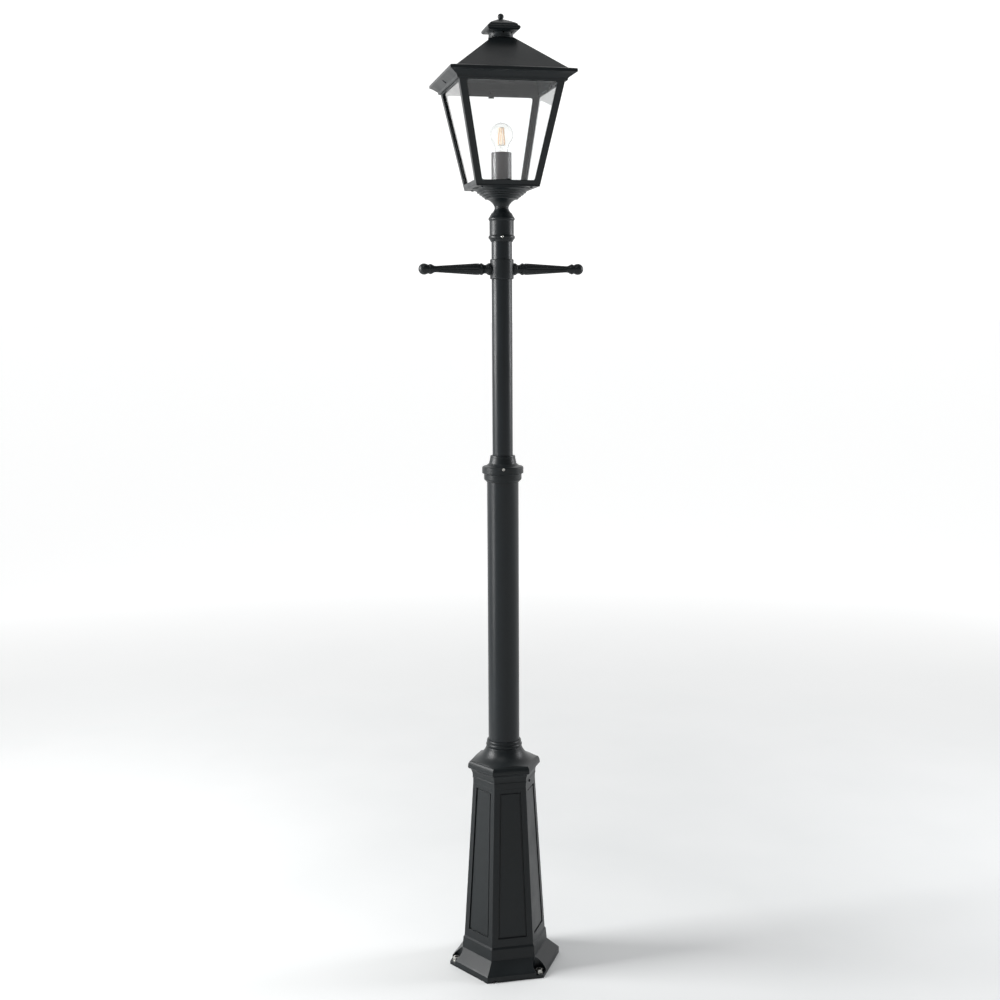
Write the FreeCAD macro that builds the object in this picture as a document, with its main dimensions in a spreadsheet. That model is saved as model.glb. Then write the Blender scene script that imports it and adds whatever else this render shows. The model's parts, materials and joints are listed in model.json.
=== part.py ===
import FreeCAD, Part
import math
import os
import Sketcher
from FreeCAD import Placement, Rotation, Vector

# A garden lamp post: a hexagonal cast pedestal bolted to the ground, a two-stage tube with a
# reducer, a ladder rest, and a four-sided lantern on a post-top fitter.
# Millimetres, +Z up, origin at the centre of the pedestal's underside.
# The lantern's front pane faces -Y, the ladder bars lie along X, and hexagon corners lie on X.

SIZES = {
    # pedestal: hexagon sizes are centre-to-corner radii
    "foot_radius": 146.2,
    "foot_edge": 15.5,
    "foot_round": 3.5,
    "band_radius": 113,
    "band_bottom": 44,
    "band_top_radius": 110.3,
    "band_top": 72,
    "shaft_radius": 107.2,
    "shaft_bottom": 77,
    "shaft_top_radius": 81.4,
    "shaft_top": 486,
    "shaft_wall": 7,
    "cavity_top": 478,
    "spigot_radius": 75.6,
    "spigot_height": 14,
    "panel_bottom": 98,
    "panel_top": 477,
    "panel_half_bottom": 37.8,
    "panel_half_top": 27.2,
    "panel_field_depth": 1.5,
    "panel_groove_depth": 3.6,
    "panel_groove": 4,
    "socket_radius": 48.5,
    "socket_bottom": 400,
    "socket_lip": 8,
    "socket_hole": 30,
    "cable_notch": 6,
    "cable_notch_x": -52,
    # anchors
    "anchor_circle": 129,
    "anchor_hole": 5.5,
    "anchor_floor": 8,
    "anchor_pocket": 16.5,
    "anchor_nut": 9.2,
    "anchor_nut_bore": 5.3,
    "anchor_nut_height": 8,
    "washer_radius": 10,
    "washer_thickness": 2,
    # pedestal cap
    "cap_lip_radius": 94.6,
    "cap_lip_bottom": 526.5,
    "cap_lip_top": 531,
    "cap_edge_radius": 87,
    "cap_edge": 545,
    "cap_cove_start": 503,
    "cap_cove_radius": 82.3,
    "bell_radius": 45.4,
    "bell_top": 578,
    "bell_curve": 50,
    "bell_bead_radius": 43.9,
    "bell_small_bead_radius": 42.5,
    "cap_top": 597.5,
    "cap_screw_height": 495.5,
    "cap_screw_offset": -10,
    # poles
    "lower_pole_radius": 39.5,
    "lower_pole_wall": 3,
    "lower_pole_top": 1286,
    "upper_pole_radius": 25.4,
    "upper_pole_wall": 2.6,
    "upper_pole_bottom": 1232,
    "upper_pole_top": 1898.7,
    "slip_gap": 0.3,
    # reducer
    "reducer_bottom": 1262,
    "reducer_step_radius": 46.9,
    "reducer_radius": 51.6,
    "reducer_rim_bottom": 1283.5,
    "reducer_rim_top": 1297.5,
    "reducer_neck_radius": 34.4,
    "reducer_neck": 1306.5,
    "reducer_top_radius": 31.3,
    "reducer_top": 1327,
    "reducer_plug_bottom": 1226,
    "reducer_screw_height": 1296,
    "grub_radius": 3.9,
    # ladder rest
    "rest_height": 1784.5,
    "rest_half_height": 24,
    "rest_radius": 29.1,
    "bar_root": 32.4,
    "bar_root_radius": 14.8,
    "bar_stud": 4,
    "bar_bead": 51,
    "bar_spindle_start": 58.5,
    "bar_spindle_radius": 14.2,
    "bar_spindle_end": 163.5,
    "bar_tip_radius": 7.9,
    "bar_ring": 176.5,
    "bar_ring_radius": 12.5,
    "bar_tip": 206.2,
    "bar_ball": 13.6,
    # post-top fitter and stem
    "fitter_bottom": 1850.5,
    "fitter_bead": 1861,
    "fitter_bead_radius": 31.4,
    "fitter_radius": 29.8,
    "fitter_shoulder": 1900,
    "fitter_ring_radius": 32.2,
    "fitter_ring": 1904.5,
    "fitter_seat": 1899,
    "fitter_top": 1930.5,
    "fitter_top_radius": 17.2,
    "fitter_grub_radius": 3,
    "stem_radius": 6.3,
    "stem_hole": 4.8,
    "stem_bottom": 1889,
    "stem_top": 2002,
    "nut_radius": 10,
    "nut_height": 5,
    "seat_washer": 1.5,
    # lantern
    "tray_bottom": 1977,
    "tray_thickness": 4,
    "tray_width": 154.4,
    "frame_bottom_width": 155.6,
    "frame_top_width": 252.2,
    "frame_bend": 2216,
    "frame_top": 2230,
    "frame_wall": 4.1,
    "frame_flange": 3,
    "frame_floor_hole": 106,
    "window_bottom": 1991,
    "window_top": 2212,
    "window_half_bottom": 63.7,
    "window_half_top": 108.1,
    "window_corner": 5,
    "boss_place": 60,
    "boss_size": 10,
    "boss_top": 1990,
    "pane_thickness": 3,
    "pane_side_gap": 9,
    "pane_top": 2216.5,
    "clip_width": 14,
    "clip_screw_height": 2223.5,
    # roof
    "roof_bottom": 2214,
    "roof_lip_width": 261.9,
    "roof_width": 299.8,
    "roof_edge": 2238.3,
    "roof_foot_width": 263,
    "roof_foot": 2243.5,
    "roof_top_width": 54,
    "roof_top": 2327.5,
    "roof_socket_width": 253.2,
    "roof_seat": 2230,
    "roof_inner_width": 242,
    "roof_vent": 18,
    "roof_ceiling": 2322,
    "roof_ceiling_width": 44,
    "roof_screw_height": 2224.5,
    "roof_screw_face": 134.4,
    # vent neck, cap and finial
    "vent_neck_radius": 29.5,
    "vent_neck_top": 2343.5,
    "cap_width": 79.5,
    "cap_rim": 2349,
    "cap_apex": 2371.5,
    "finial_ball": 7.4,
    "finial_top": 2386.2,
    "tie_rod_radius": 3,
    "tie_rod_bottom": 2312,
    # lampholder and bulb
    "sleeve_radius": 24.5,
    "sleeve_wall": 2,
    "sleeve_top": 2062.6,
    "holder_radius": 20.5,
    "holder_bottom": 2006,
    "holder_top": 2057,
    "shell_radius": 13.5,
    "bulb_radius": 28.4,
    "bulb_centre": 2104.6,
    "bulb_neck_radius": 12.4,
    "bulb_wall": 0.8,
    "bulb_cap_radius": 13.1,
    "bulb_cap_bottom": 2032,
    "bulb_cap_top": 2057,
    "thread_pitch": 3.6,
    "filament_count": 6,
    "filament_radius": 1.1,
    "filament_bottom": 2081,
    "filament_top": 2121,
    "filament_foot": 8.8,
    "filament_head": 6,
}

HEX = 6
COS30 = math.cos(math.radians(30))
SCREW_BEARING = -100   # the grub screws face a little to the left of the front

doc = FreeCAD.newDocument("LampPost")
sheet = doc.addObject("Spreadsheet::Sheet", "Sizes")
for row, (alias, number) in enumerate(SIZES.items(), start=1):
    sheet.set(f"A{row}", alias)
    sheet.set(f"B{row}", str(number))
    sheet.setAlias(f"B{row}", alias)
doc.recompute()


class Size:
    """A length together with the spreadsheet expression that gives it."""

    def __init__(self, value, text):
        self.value = value
        self.text = text

    def __add__(self, other):
        return join(self, "+", other)

    def __radd__(self, other):
        return join(other, "+", self)

    def __sub__(self, other):
        return join(self, "-", other)

    def __rsub__(self, other):
        return join(other, "-", self)

    def __mul__(self, other):
        return join(self, "*", other)

    def __rmul__(self, other):
        return join(other, "*", self)

    def __truediv__(self, other):
        return join(self, "/", other)

    def __neg__(self):
        return join(0, "-", self)


def as_size(item):
    if isinstance(item, Size):
        return item
    return Size(float(item), f"{float(item):.9f}")


def join(left, sign, right):
    left = as_size(left)
    right = as_size(right)
    results = {
        "+": left.value + right.value,
        "-": left.value - right.value,
        "*": left.value * right.value,
        "/": left.value / right.value if right.value else 0.0,
    }
    return Size(results[sign], f"({left.text} {sign} {right.text})")


def cell(alias):
    return Size(float(sheet.get(alias)), f"Sizes.{alias}")


class Cells:
    """Reads a driving size as an attribute, such as z.frame_top."""

    def __getattr__(self, alias):
        return cell(alias)


z = Cells()


# sketch and feature helpers

def new_body(label):
    body = doc.addObject("PartDesign::Body", label)
    body.Label = label
    return body


def origin_item(body, role):
    return next(item for item in body.Origin.OriginFeatures if item.Role == role)


def bind(item, path, size):
    size = as_size(size)
    if "Sizes." in size.text:
        item.setExpression(path, size.text)


def flat_sketch(body, name, height=0):
    """A sketch parallel to the ground at the given height."""
    sketch = body.newObject("Sketcher::SketchObject", name)
    sketch.AttachmentSupport = [(origin_item(body, "XY_Plane"), "")]
    sketch.MapMode = "FlatFace"
    height = as_size(height)
    sketch.AttachmentOffset = Placement(Vector(0, 0, height.value), Rotation())
    bind(sketch, "AttachmentOffset.Base.z", height)
    return sketch


def upright_sketch(body, name, bearing=0, height=0, outward=0, sideways=0):
    """A vertical sketch whose x axis points along a bearing and whose y axis is up.

    Its origin is moved up by height, along the bearing by outward, and at right angles to it
    by sideways.
    """
    sketch = body.newObject("Sketcher::SketchObject", name)
    sketch.AttachmentSupport = [(origin_item(body, "XZ_Plane"), "")]
    sketch.MapMode = "FlatFace"
    turn = math.radians(bearing)
    along = as_size(outward) * math.cos(turn) - as_size(sideways) * math.sin(turn)
    across = as_size(0) - as_size(outward) * math.sin(turn) - as_size(sideways) * math.cos(turn)
    height = as_size(height)
    place = Vector(along.value, height.value, across.value)
    sketch.AttachmentOffset = Placement(place, Rotation(Vector(0, 1, 0), bearing))
    bind(sketch, "AttachmentOffset.Base.x", along)
    bind(sketch, "AttachmentOffset.Base.y", height)
    bind(sketch, "AttachmentOffset.Base.z", across)
    return sketch


def arc_between(start, end, radius):
    """An anticlockwise arc with these ends; it bulges right of the way for radius > 0."""
    chord = end - start
    depth = math.sqrt(max(radius * radius - chord.Length ** 2 / 4, 0))
    side = Vector(-chord.y, chord.x, 0).normalize()
    centre = (start + end) * 0.5 + side * math.copysign(depth, radius)
    first, last = (start, end) if radius > 0 else (end, start)
    turns = [math.atan2(p.y - centre.y, p.x - centre.x) for p in (first, last)]
    if turns[1] < turns[0]:
        turns[1] += 2 * math.pi
    return Part.ArcOfCircle(Part.Circle(centre, Vector(0, 0, 1), abs(radius)), *turns)


def pin_down(sketch, index, corner, x, y):
    """Holds one end of a sketch edge at x, y, each bound to its expression."""
    for kind, axis, size in (("DistanceX", -2, x), ("DistanceY", -1, y)):
        if abs(size.value) < 1e-9:
            sketch.addConstraint(Sketcher.Constraint("PointOnObject", index, corner, axis))
            continue
        number = sketch.addConstraint(Sketcher.Constraint(kind, -1, 1, index, corner, size.value))
        bind(sketch, f"Constraints[{number}]", size)


def outline(sketch, points):
    """A closed outline. A point is (x, y), or (x, y, radius) where an arc leads to it."""
    corners = [(as_size(p[0]), as_size(p[1]), p[2] if len(p) > 2 else None) for p in points]
    ends = []
    for number, (x, y, radius) in enumerate(corners):
        before = corners[number - 1]
        start = Vector(before[0].value, before[1].value, 0)
        end = Vector(x.value, y.value, 0)
        if radius is None:
            index = sketch.addGeometry(Part.LineSegment(start, end), False)
            tail, head = 1, 2
        else:
            size = as_size(radius)
            index = sketch.addGeometry(arc_between(start, end, size.value), False)
            tail, head = (1, 2) if size.value > 0 else (2, 1)
            constraint = Sketcher.Constraint("Radius", index, abs(size.value))
            held = sketch.addConstraint(constraint)
            bind(sketch, f"Constraints[{held}]", size if size.value > 0 else -size)
        pin_down(sketch, index, head, x, y)
        ends.append((index, tail, head))
    for number, (index, tail, head) in enumerate(ends):
        last = ends[number - 1]
        sketch.addConstraint(Sketcher.Constraint("Coincident", last[0], last[2], index, tail))
    return sketch


def rounded(corners, radius):
    """The outline points of a convex shape, anticlockwise, with an arc at every corner."""
    places = [Vector(as_size(x).value, as_size(y).value, 0) for x, y in corners]
    points = []
    for number, (x, y) in enumerate(corners):
        back = (places[number - 1] - places[number]).normalize()
        ahead = (places[(number + 1) % len(places)] - places[number]).normalize()
        reach = 1 / math.tan(back.getAngle(ahead) / 2)
        points.append((x + radius * (back.x * reach), y + radius * (back.y * reach)))
        points.append((x + radius * (ahead.x * reach), y + radius * (ahead.y * reach), radius))
    return points


def dome(radius, rise):
    """The radius of a ball's cap that is this wide and this high, so that it closes on its axis."""
    return (as_size(radius) * radius + as_size(rise) * rise) / (as_size(rise) * 2)


def circle(sketch, radius, x=0, y=0):
    radius = as_size(radius)
    x = as_size(x)
    y = as_size(y)
    index = sketch.addGeometry(Part.Circle(Vector(x.value, y.value, 0), Vector(0, 0, 1), radius.value))
    pin_down(sketch, index, 3, x, y)
    number = sketch.addConstraint(Sketcher.Constraint("Radius", index, radius.value))
    bind(sketch, f"Constraints[{number}]", radius)
    return sketch


def hexagon(sketch, radius):
    turns = [math.radians(60 * corner) for corner in range(HEX)]
    return outline(sketch, [(radius * math.cos(turn), radius * math.sin(turn)) for turn in turns])


def square(sketch, width, x=0, y=0):
    half = width / 2
    corners = ((-1, -1), (1, -1), (1, 1), (-1, 1))
    return outline(sketch, [(x + half * across, y + half * along) for across, along in corners])


def spin(body, name, sketch, axis="V_Axis", cut=False):
    kind = "PartDesign::Groove" if cut else "PartDesign::Revolution"
    feature = body.newObject(kind, name)
    feature.Profile = sketch
    feature.ReferenceAxis = (sketch, [axis])
    feature.Angle = 360
    return feature


def extrude(body, name, sketch, length, cut=False, flip=False, both=False):
    """Pads along the sketch's normal, or cuts against it; flip turns either round."""
    kind = "PartDesign::Pocket" if cut else "PartDesign::Pad"
    feature = body.newObject(kind, name)
    feature.Profile = sketch
    feature.Reversed = flip
    if both:
        feature.SideType = "Symmetric"
    feature.Length = as_size(length).value
    bind(feature, "Length", length)
    return feature


def loft(body, name, shape, sections, cut=False):
    """Flat-sided loft through (size, height) sections of a hexagon or a square."""
    sketches = []
    for number, (size, height) in enumerate(sections):
        sketches.append(shape(flat_sketch(body, f"{name}_section_{number}", height), as_size(size)))
    kind = "PartDesign::SubtractiveLoft" if cut else "PartDesign::AdditiveLoft"
    feature = body.newObject(kind, name)
    feature.Profile = sketches[0]
    feature.Sections = sketches[1:]
    feature.Ruled = True
    return feature


def repeat(body, features, count):
    """Repeats the features evenly round the body's vertical axis."""
    doc.recompute()
    pattern = body.newObject("PartDesign::PolarPattern", body.Label + "_round")
    pattern.Originals = features
    pattern.Axis = (origin_item(body, "Z_Axis"), [""])
    pattern.Angle = 360
    pattern.Occurrences = count
    body.Tip = pattern
    return pattern


def turned(label, points):
    """A piece turned about the vertical axis from its half section."""
    body = new_body(label)
    spin(body, label + "_turning", outline(upright_sketch(body, label + "_section"), points))
    return body


def tube(label, outer, inner, bottom, top):
    return turned(label, [(inner, bottom), (outer, bottom), (outer, top), (inner, top)])


def radial_hole(body, name, radius, bearing, height, reach, sideways=0, start=0):
    """Cuts a round hole that runs outward along a bearing."""
    sketch = upright_sketch(body, name + "_circle", bearing + 90, height)
    turn = math.radians(bearing)
    if as_size(start).value:
        out = as_size(start)
        sketch.AttachmentOffset = Placement(
            Vector(out.value * math.cos(turn), as_size(height).value, -out.value * math.sin(turn)),
            sketch.AttachmentOffset.Rotation)
        bind(sketch, "AttachmentOffset.Base.x", out * math.cos(turn))
        bind(sketch, "AttachmentOffset.Base.z", -out * math.sin(turn))
    circle(sketch, radius, sideways)
    return extrude(body, name, sketch, reach, cut=True, flip=True)


def radial_screws(label, count, bearing, height, points, sideways=0):
    """Screws that point outward from the axis, as separate solids in one piece."""
    body = new_body(label)
    sketch = upright_sketch(body, label + "_section", bearing, height, 0, sideways)
    screw = spin(body, label + "_screw", outline(sketch, points), "H_Axis")
    if count > 1:
        repeat(body, [screw], count)
    return body


def upright_screws(label, count, bearing, outward, points):
    """Vertical screws on a circle, as separate solids in one piece."""
    body = new_body(label)
    sketch = upright_sketch(body, label + "_section", bearing, 0, outward)
    repeat(body, [spin(body, label + "_screw", outline(sketch, points))], count)
    return body


# pedestal

def base_casting():
    body = new_body("base_casting")
    loft(body, "casting_outside", hexagon, [
        (z.foot_radius, 0),
        (z.foot_radius, z.foot_edge),
        (z.foot_radius - z.foot_round, z.foot_edge + z.foot_round),
        (z.band_radius, z.band_bottom),
        (z.band_top_radius, z.band_top),
        (z.shaft_radius, z.shaft_bottom),
        (z.shaft_top_radius, z.shaft_top),
    ])
    spigot = hexagon(flat_sketch(body, "spigot_outline", z.shaft_top), z.spigot_radius)
    extrude(body, "spigot", spigot, z.spigot_height)
    cavity_radius = z.shaft_radius - z.shaft_wall
    loft(body, "cavity", hexagon, [
        (cavity_radius, 0),
        (cavity_radius, z.shaft_bottom),
        (z.shaft_top_radius - z.shaft_wall - 1, z.cavity_top),
    ], cut=True)
    socket = circle(flat_sketch(body, "socket_outline", z.socket_bottom), z.socket_radius)
    extrude(body, "pole_socket", socket, z.cavity_top - z.socket_bottom + 2)
    floor = z.socket_bottom + z.socket_lip
    bore = circle(flat_sketch(body, "bore_outline", floor), z.lower_pole_radius + z.slip_gap)
    extrude(body, "pole_bore", bore, z.shaft_top, cut=True, flip=True)
    drop = circle(flat_sketch(body, "wire_hole_outline", floor), z.socket_hole)
    extrude(body, "wire_hole", drop, z.socket_lip * 2, cut=True)
    set_screw = radial_hole(body, "set_screw_hole", z.grub_radius + 0.1, 30,
                            (z.socket_bottom + z.cavity_top) / 2, z.socket_radius + 2)
    repeat(body, [set_screw], 3)

    pocket = flat_sketch(body, "anchor_pocket_outline", z.anchor_floor)
    outer_end = -(z.foot_radius + 10)
    outline(pocket, [
        (-z.anchor_circle, z.anchor_pocket, z.anchor_pocket),
        (outer_end, z.anchor_pocket),
        (outer_end, -z.anchor_pocket),
        (-z.anchor_circle, -z.anchor_pocket),
        (-z.anchor_circle + z.anchor_pocket, 0, z.anchor_pocket),
    ])
    recess = extrude(body, "anchor_pocket", pocket, z.band_bottom, cut=True, flip=True)
    hole_sketch = flat_sketch(body, "anchor_hole_outline", z.anchor_floor)
    hole = extrude(body, "anchor_hole", circle(hole_sketch, z.anchor_hole, -z.anchor_circle),
                   z.anchor_floor * 2, cut=True)
    repeat(body, [recess, hole], 3)

    screw_hole = radial_hole(body, "cap_screw_hole", 2.5, -30, z.cap_screw_height,
                             z.shaft_top_radius, z.cap_screw_offset)
    repeat(body, [screw_hole], 2)

    notch_sketch = upright_sketch(body, "notch_outline")
    circle(notch_sketch, z.cable_notch, z.cable_notch_x, 0)
    extrude(body, "cable_notch", notch_sketch, z.foot_radius, cut=True, flip=True)

    # each face of the shaft has a shallow sunk panel inside a deeper groove
    drop_in = (z.shaft_radius - z.shaft_top_radius) * COS30
    rise = z.shaft_top - z.shaft_bottom
    lean = math.degrees(math.atan(drop_in.value / rise.value))
    face = z.shaft_radius * COS30
    panels = []
    for name, borders, depth in (("panel_groove", (0, z.panel_groove), z.panel_groove_depth),
                                 ("panel_field", (z.panel_groove / 2,), z.panel_field_depth)):
        sketch = upright_sketch(body, name + "_outline", 0, z.shaft_bottom)
        sketch.AttachmentOffset = Placement(
            Vector(0, z.shaft_bottom.value, face.value), Rotation(Vector(-1, 0, 0), lean))
        bind(sketch, "AttachmentOffset.Base.z", face)
        for border in borders:
            low = z.panel_bottom - z.shaft_bottom + border
            high = z.panel_top - z.shaft_bottom - border
            wide = z.panel_half_bottom - border
            narrow = z.panel_half_top - border
            outline(sketch, [(-wide, low), (wide, low), (narrow, high), (-narrow, high)])
        panels.append(extrude(body, name, sketch, depth, cut=True))
    repeat(body, panels, HEX)
    return body


def anchor_nuts():
    """Open nuts on the washers; the studs belong to the footing that the post stands on."""
    body = new_body("anchor_nuts")
    sketch = flat_sketch(body, "nut_outline", z.anchor_floor + z.washer_thickness)
    turns = [math.radians(60 * corner) for corner in range(HEX)]
    outline(sketch, [(z.anchor_nut * math.cos(turn) - z.anchor_circle, z.anchor_nut * math.sin(turn))
                     for turn in turns])
    circle(sketch, z.anchor_nut_bore, -z.anchor_circle)
    repeat(body, [extrude(body, "nut", sketch, z.anchor_nut_height)], 3)
    return body


def anchor_washers():
    body = new_body("anchor_washers")
    sketch = flat_sketch(body, "washer_outline", z.anchor_floor)
    circle(sketch, z.washer_radius, -z.anchor_circle)
    circle(sketch, z.anchor_hole, -z.anchor_circle)
    repeat(body, [extrude(body, "washer", sketch, z.washer_thickness)], 3)
    return body


def pedestal_cap():
    body = new_body("pedestal_cap")
    cove_depth = z.cap_lip_radius - 2.5 - z.cap_cove_radius
    cove_height = z.cap_lip_bottom - 2 - z.cap_cove_start
    sections = [(z.shaft_top_radius, z.shaft_top), (z.shaft_top_radius, z.cap_cove_start - 3),
                (z.cap_cove_radius + 0.8, z.cap_cove_start - 2.5),
                (z.cap_cove_radius + 0.8, z.cap_cove_start - 0.8)]
    steps = 5
    for step in range(steps + 1):
        turn = math.radians(90 * step / steps)
        sections.append((z.cap_cove_radius + cove_depth * (1 - math.cos(turn)),
                         z.cap_cove_start + cove_height * math.sin(turn)))
    sections.append((z.cap_lip_radius, z.cap_lip_bottom))
    steps = 4
    for step in range(steps + 1):
        turn = math.radians(70 * step / steps)
        shrink = (1 - math.cos(turn)) / (1 - math.cos(math.radians(70)))
        climb = math.sin(turn) / math.sin(math.radians(70))
        sections.append((z.cap_lip_radius - (z.cap_lip_radius - z.cap_edge_radius) * shrink,
                         z.cap_lip_top + (z.cap_edge - z.cap_lip_top) * climb))
    sections.append((z.cap_edge_radius, z.bell_top))
    loft(body, "cap_sides", hexagon, sections)
    rim = z.cap_edge_radius + 1.5
    clear = z.cap_lip_radius + 10
    flare = outline(upright_sketch(body, "flare_section"), [
        (rim, z.cap_edge - 1.2, z.bell_curve), (clear, z.cap_edge - 1.2),
        (clear, z.bell_top + 10), (z.bell_radius, z.bell_top + 10), (z.bell_radius, z.bell_top),
    ])
    spin(body, "bell_flare", flare, cut=True)
    bore = z.lower_pole_radius + z.slip_gap
    beads = outline(upright_sketch(body, "bead_section"), [
        (bore, z.bell_top - 6), (z.bell_radius, z.bell_top - 6), (z.bell_radius, z.bell_top),
        (z.bell_bead_radius, z.bell_top + 1.5), (z.bell_bead_radius, z.bell_top + 10.5, 6),
        (z.bell_small_bead_radius, z.bell_top + 11.5),
        (z.bell_small_bead_radius, z.bell_top + 18.5, 5),
        (bore + 1.2, z.cap_top), (bore, z.cap_top),
    ])
    spin(body, "bell_beads", beads)
    socket = hexagon(flat_sketch(body, "skirt_outline", z.shaft_top), z.spigot_radius + 0.4)
    extrude(body, "skirt_socket", socket, z.spigot_height + 1, cut=True, flip=True)
    ceiling = z.shaft_top + z.spigot_height + 1
    hollow = outline(upright_sketch(body, "hollow_section"), [
        (0, ceiling - 2), (62, ceiling - 2), (62, ceiling + 20), (bore + 8, z.bell_top - 30),
        (bore + 3, z.bell_top - 12), (0, z.bell_top - 12),
    ])
    spin(body, "bell_hollow", hollow, cut=True)
    hole = circle(flat_sketch(body, "bore_outline", z.shaft_top), bore)
    extrude(body, "pole_bore", hole, z.cap_top, cut=True, flip=True)
    drill = radial_hole(body, "screw_hole", 2.5, -30, z.cap_screw_height, z.cap_lip_radius,
                        z.cap_screw_offset)
    repeat(body, [drill], 2)
    return body


def cap_screws():
    face = z.shaft_top_radius * COS30
    return radial_screws("cap_screws", 2, -30, z.cap_screw_height, [
        (face - 12, 0), (face - 12, -2.4), (face, -2.4), (face, -3.8), (face + 1.4, -3.8),
        (face + 2.6, 0, dome(3.8, 1.2)),
    ], z.cap_screw_offset)


def socket_screws():
    tip = z.lower_pole_radius + 0.1
    return radial_screws("socket_screws", 3, 30, (z.socket_bottom + z.cavity_top) / 2, [
        (tip, 0), (tip, -z.grub_radius), (tip + 14, -z.grub_radius), (tip + 14, -2),
        (tip + 11, -2), (tip + 11, 0),
    ])


# pole

def lower_pole():
    return tube("lower_pole", z.lower_pole_radius, z.lower_pole_radius - z.lower_pole_wall,
                z.socket_bottom + z.socket_lip, z.lower_pole_top)


def pole_reducer():
    plug = z.lower_pole_radius - z.lower_pole_wall - z.slip_gap
    skirt = z.lower_pole_radius + z.slip_gap
    bore = z.upper_pole_radius + z.slip_gap
    slot_top = z.lower_pole_top + 1
    body = turned("pole_reducer", [
        (bore - 4, z.reducer_plug_bottom), (plug, z.reducer_plug_bottom), (plug, slot_top),
        (skirt, slot_top), (skirt, z.reducer_bottom), (skirt + 2, z.reducer_bottom),
        (skirt + 3, z.reducer_bottom + 2), (z.reducer_step_radius - 0.8, z.reducer_bottom + 4.5),
        (z.reducer_step_radius, z.reducer_bottom + 7),
        (z.reducer_step_radius, z.reducer_rim_bottom - 3),
        (z.reducer_step_radius + 1.6, z.reducer_rim_bottom - 1.2),
        (z.reducer_radius, z.reducer_rim_bottom), (z.reducer_radius, z.reducer_rim_top),
        (z.reducer_radius - 1.8, z.reducer_rim_top + 2.3),
        (z.reducer_neck_radius + 4.5, z.reducer_neck - 3.2),
        (z.reducer_neck_radius, z.reducer_neck + 0.5, 7),
        (z.reducer_top_radius, z.reducer_top - 5),
        (z.reducer_top_radius, z.reducer_top - 3.4),
        (z.reducer_top_radius - 0.9, z.reducer_top), (bore, z.reducer_top),
        (bore, z.upper_pole_bottom), (bore - 4, z.upper_pole_bottom),
    ])
    drill = radial_hole(body, "grub_hole", z.grub_radius + 0.1, SCREW_BEARING,
                        z.reducer_screw_height, z.reducer_radius + 5)
    repeat(body, [drill], 3)
    return body


def grub(tip, end, radius):
    """Half section of a grub screw with a key socket in its outer end."""
    return [(tip, 0), (tip, -(radius - 1)), (tip + 1, -radius), (end - 0.6, -radius),
            (end, -(radius - 0.6)), (end, -(radius * 0.5)), (end - 3, -(radius * 0.5)), (end - 3, 0)]


def reducer_grub_screws():
    return radial_screws("reducer_grub_screws", 3, SCREW_BEARING, z.reducer_screw_height,
                         grub(z.upper_pole_radius + 0.15, z.reducer_radius - 1, z.grub_radius))


def upper_pole():
    return tube("upper_pole", z.upper_pole_radius, z.upper_pole_radius - z.upper_pole_wall,
                z.upper_pole_bottom, z.upper_pole_top)


# ladder rest

def ladder_collar():
    low = z.rest_height - z.rest_half_height
    high = z.rest_height + z.rest_half_height
    bore = z.upper_pole_radius + z.slip_gap
    body = turned("ladder_collar", [
        (0, low), (z.rest_radius - 1.3, low), (z.rest_radius, low + 1.6),
        (z.rest_radius, high - 1.6), (z.rest_radius - 1.3, high), (0, high),
    ])
    inner = bore + 1
    for name, bearing in (("left", 180), ("right", 0)):
        sketch = upright_sketch(body, f"boss_{name}_section", bearing, z.rest_height)
        outline(sketch, [
            (inner, 0), (inner, -z.bar_root_radius + 1), (z.rest_radius + 1.5, -z.bar_root_radius),
            (z.bar_root, -z.bar_root_radius), (z.bar_root, 0),
        ])
        spin(body, f"boss_{name}", sketch, "H_Axis")
        radial_hole(body, f"stud_hole_{name}", z.bar_stud + 0.1, bearing, z.rest_height,
                    z.bar_root + 5)
    hole = circle(flat_sketch(body, "bore_outline", low - 1), bore)
    extrude(body, "bore", hole, z.rest_half_height * 2 + 2, cut=True, flip=True)
    radial_hole(body, "clamp_hole", z.fitter_grub_radius + 0.1, 90, z.rest_height, z.rest_radius + 5)
    return body


def collar_grub_screw():
    return radial_screws("collar_grub_screw", 1, 90, z.rest_height,
                         grub(z.upper_pole_radius + 0.35, z.rest_radius + 1.6, z.fitter_grub_radius))


def ladder_bar(label, bearing):
    """One turned bar: a threaded stud, a waisted root, a tapering spindle and a ball tip."""
    root = z.bar_root
    neck = z.bar_spindle_start
    tip = z.bar_spindle_end
    ring = z.bar_ring
    return radial_screws(label, 1, bearing, z.rest_height, [
        (root - 5, 0), (root - 5, -z.bar_stud), (root, -z.bar_stud), (root, -z.bar_root_radius),
        (root + 2, -z.bar_root_radius + 0.7), (z.bar_bead - 1.5, -z.bar_root_radius + 0.5, -9.6),
        (z.bar_bead + 2, -z.bar_root_radius + 0.8, 3), (neck - 1.5, -z.bar_spindle_radius + 1.3),
        (neck, -z.bar_spindle_radius), (neck + 6, -z.bar_spindle_radius),
        (tip, -z.bar_tip_radius), (tip + 4, -z.bar_tip_radius - 0.4),
        (ring - 1.5, -z.bar_ring_radius + 0.3), (ring + 1.5, -z.bar_ring_radius, 3),
        (ring + 4.5, -z.bar_ring_radius + 1.7), (ring + 6.5, -z.bar_ring_radius + 1.7),
        (z.bar_tip - z.bar_ball, -z.bar_ball, z.bar_ball * 1.02), (z.bar_tip, 0, z.bar_ball),
    ])


# post-top fitter

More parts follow.
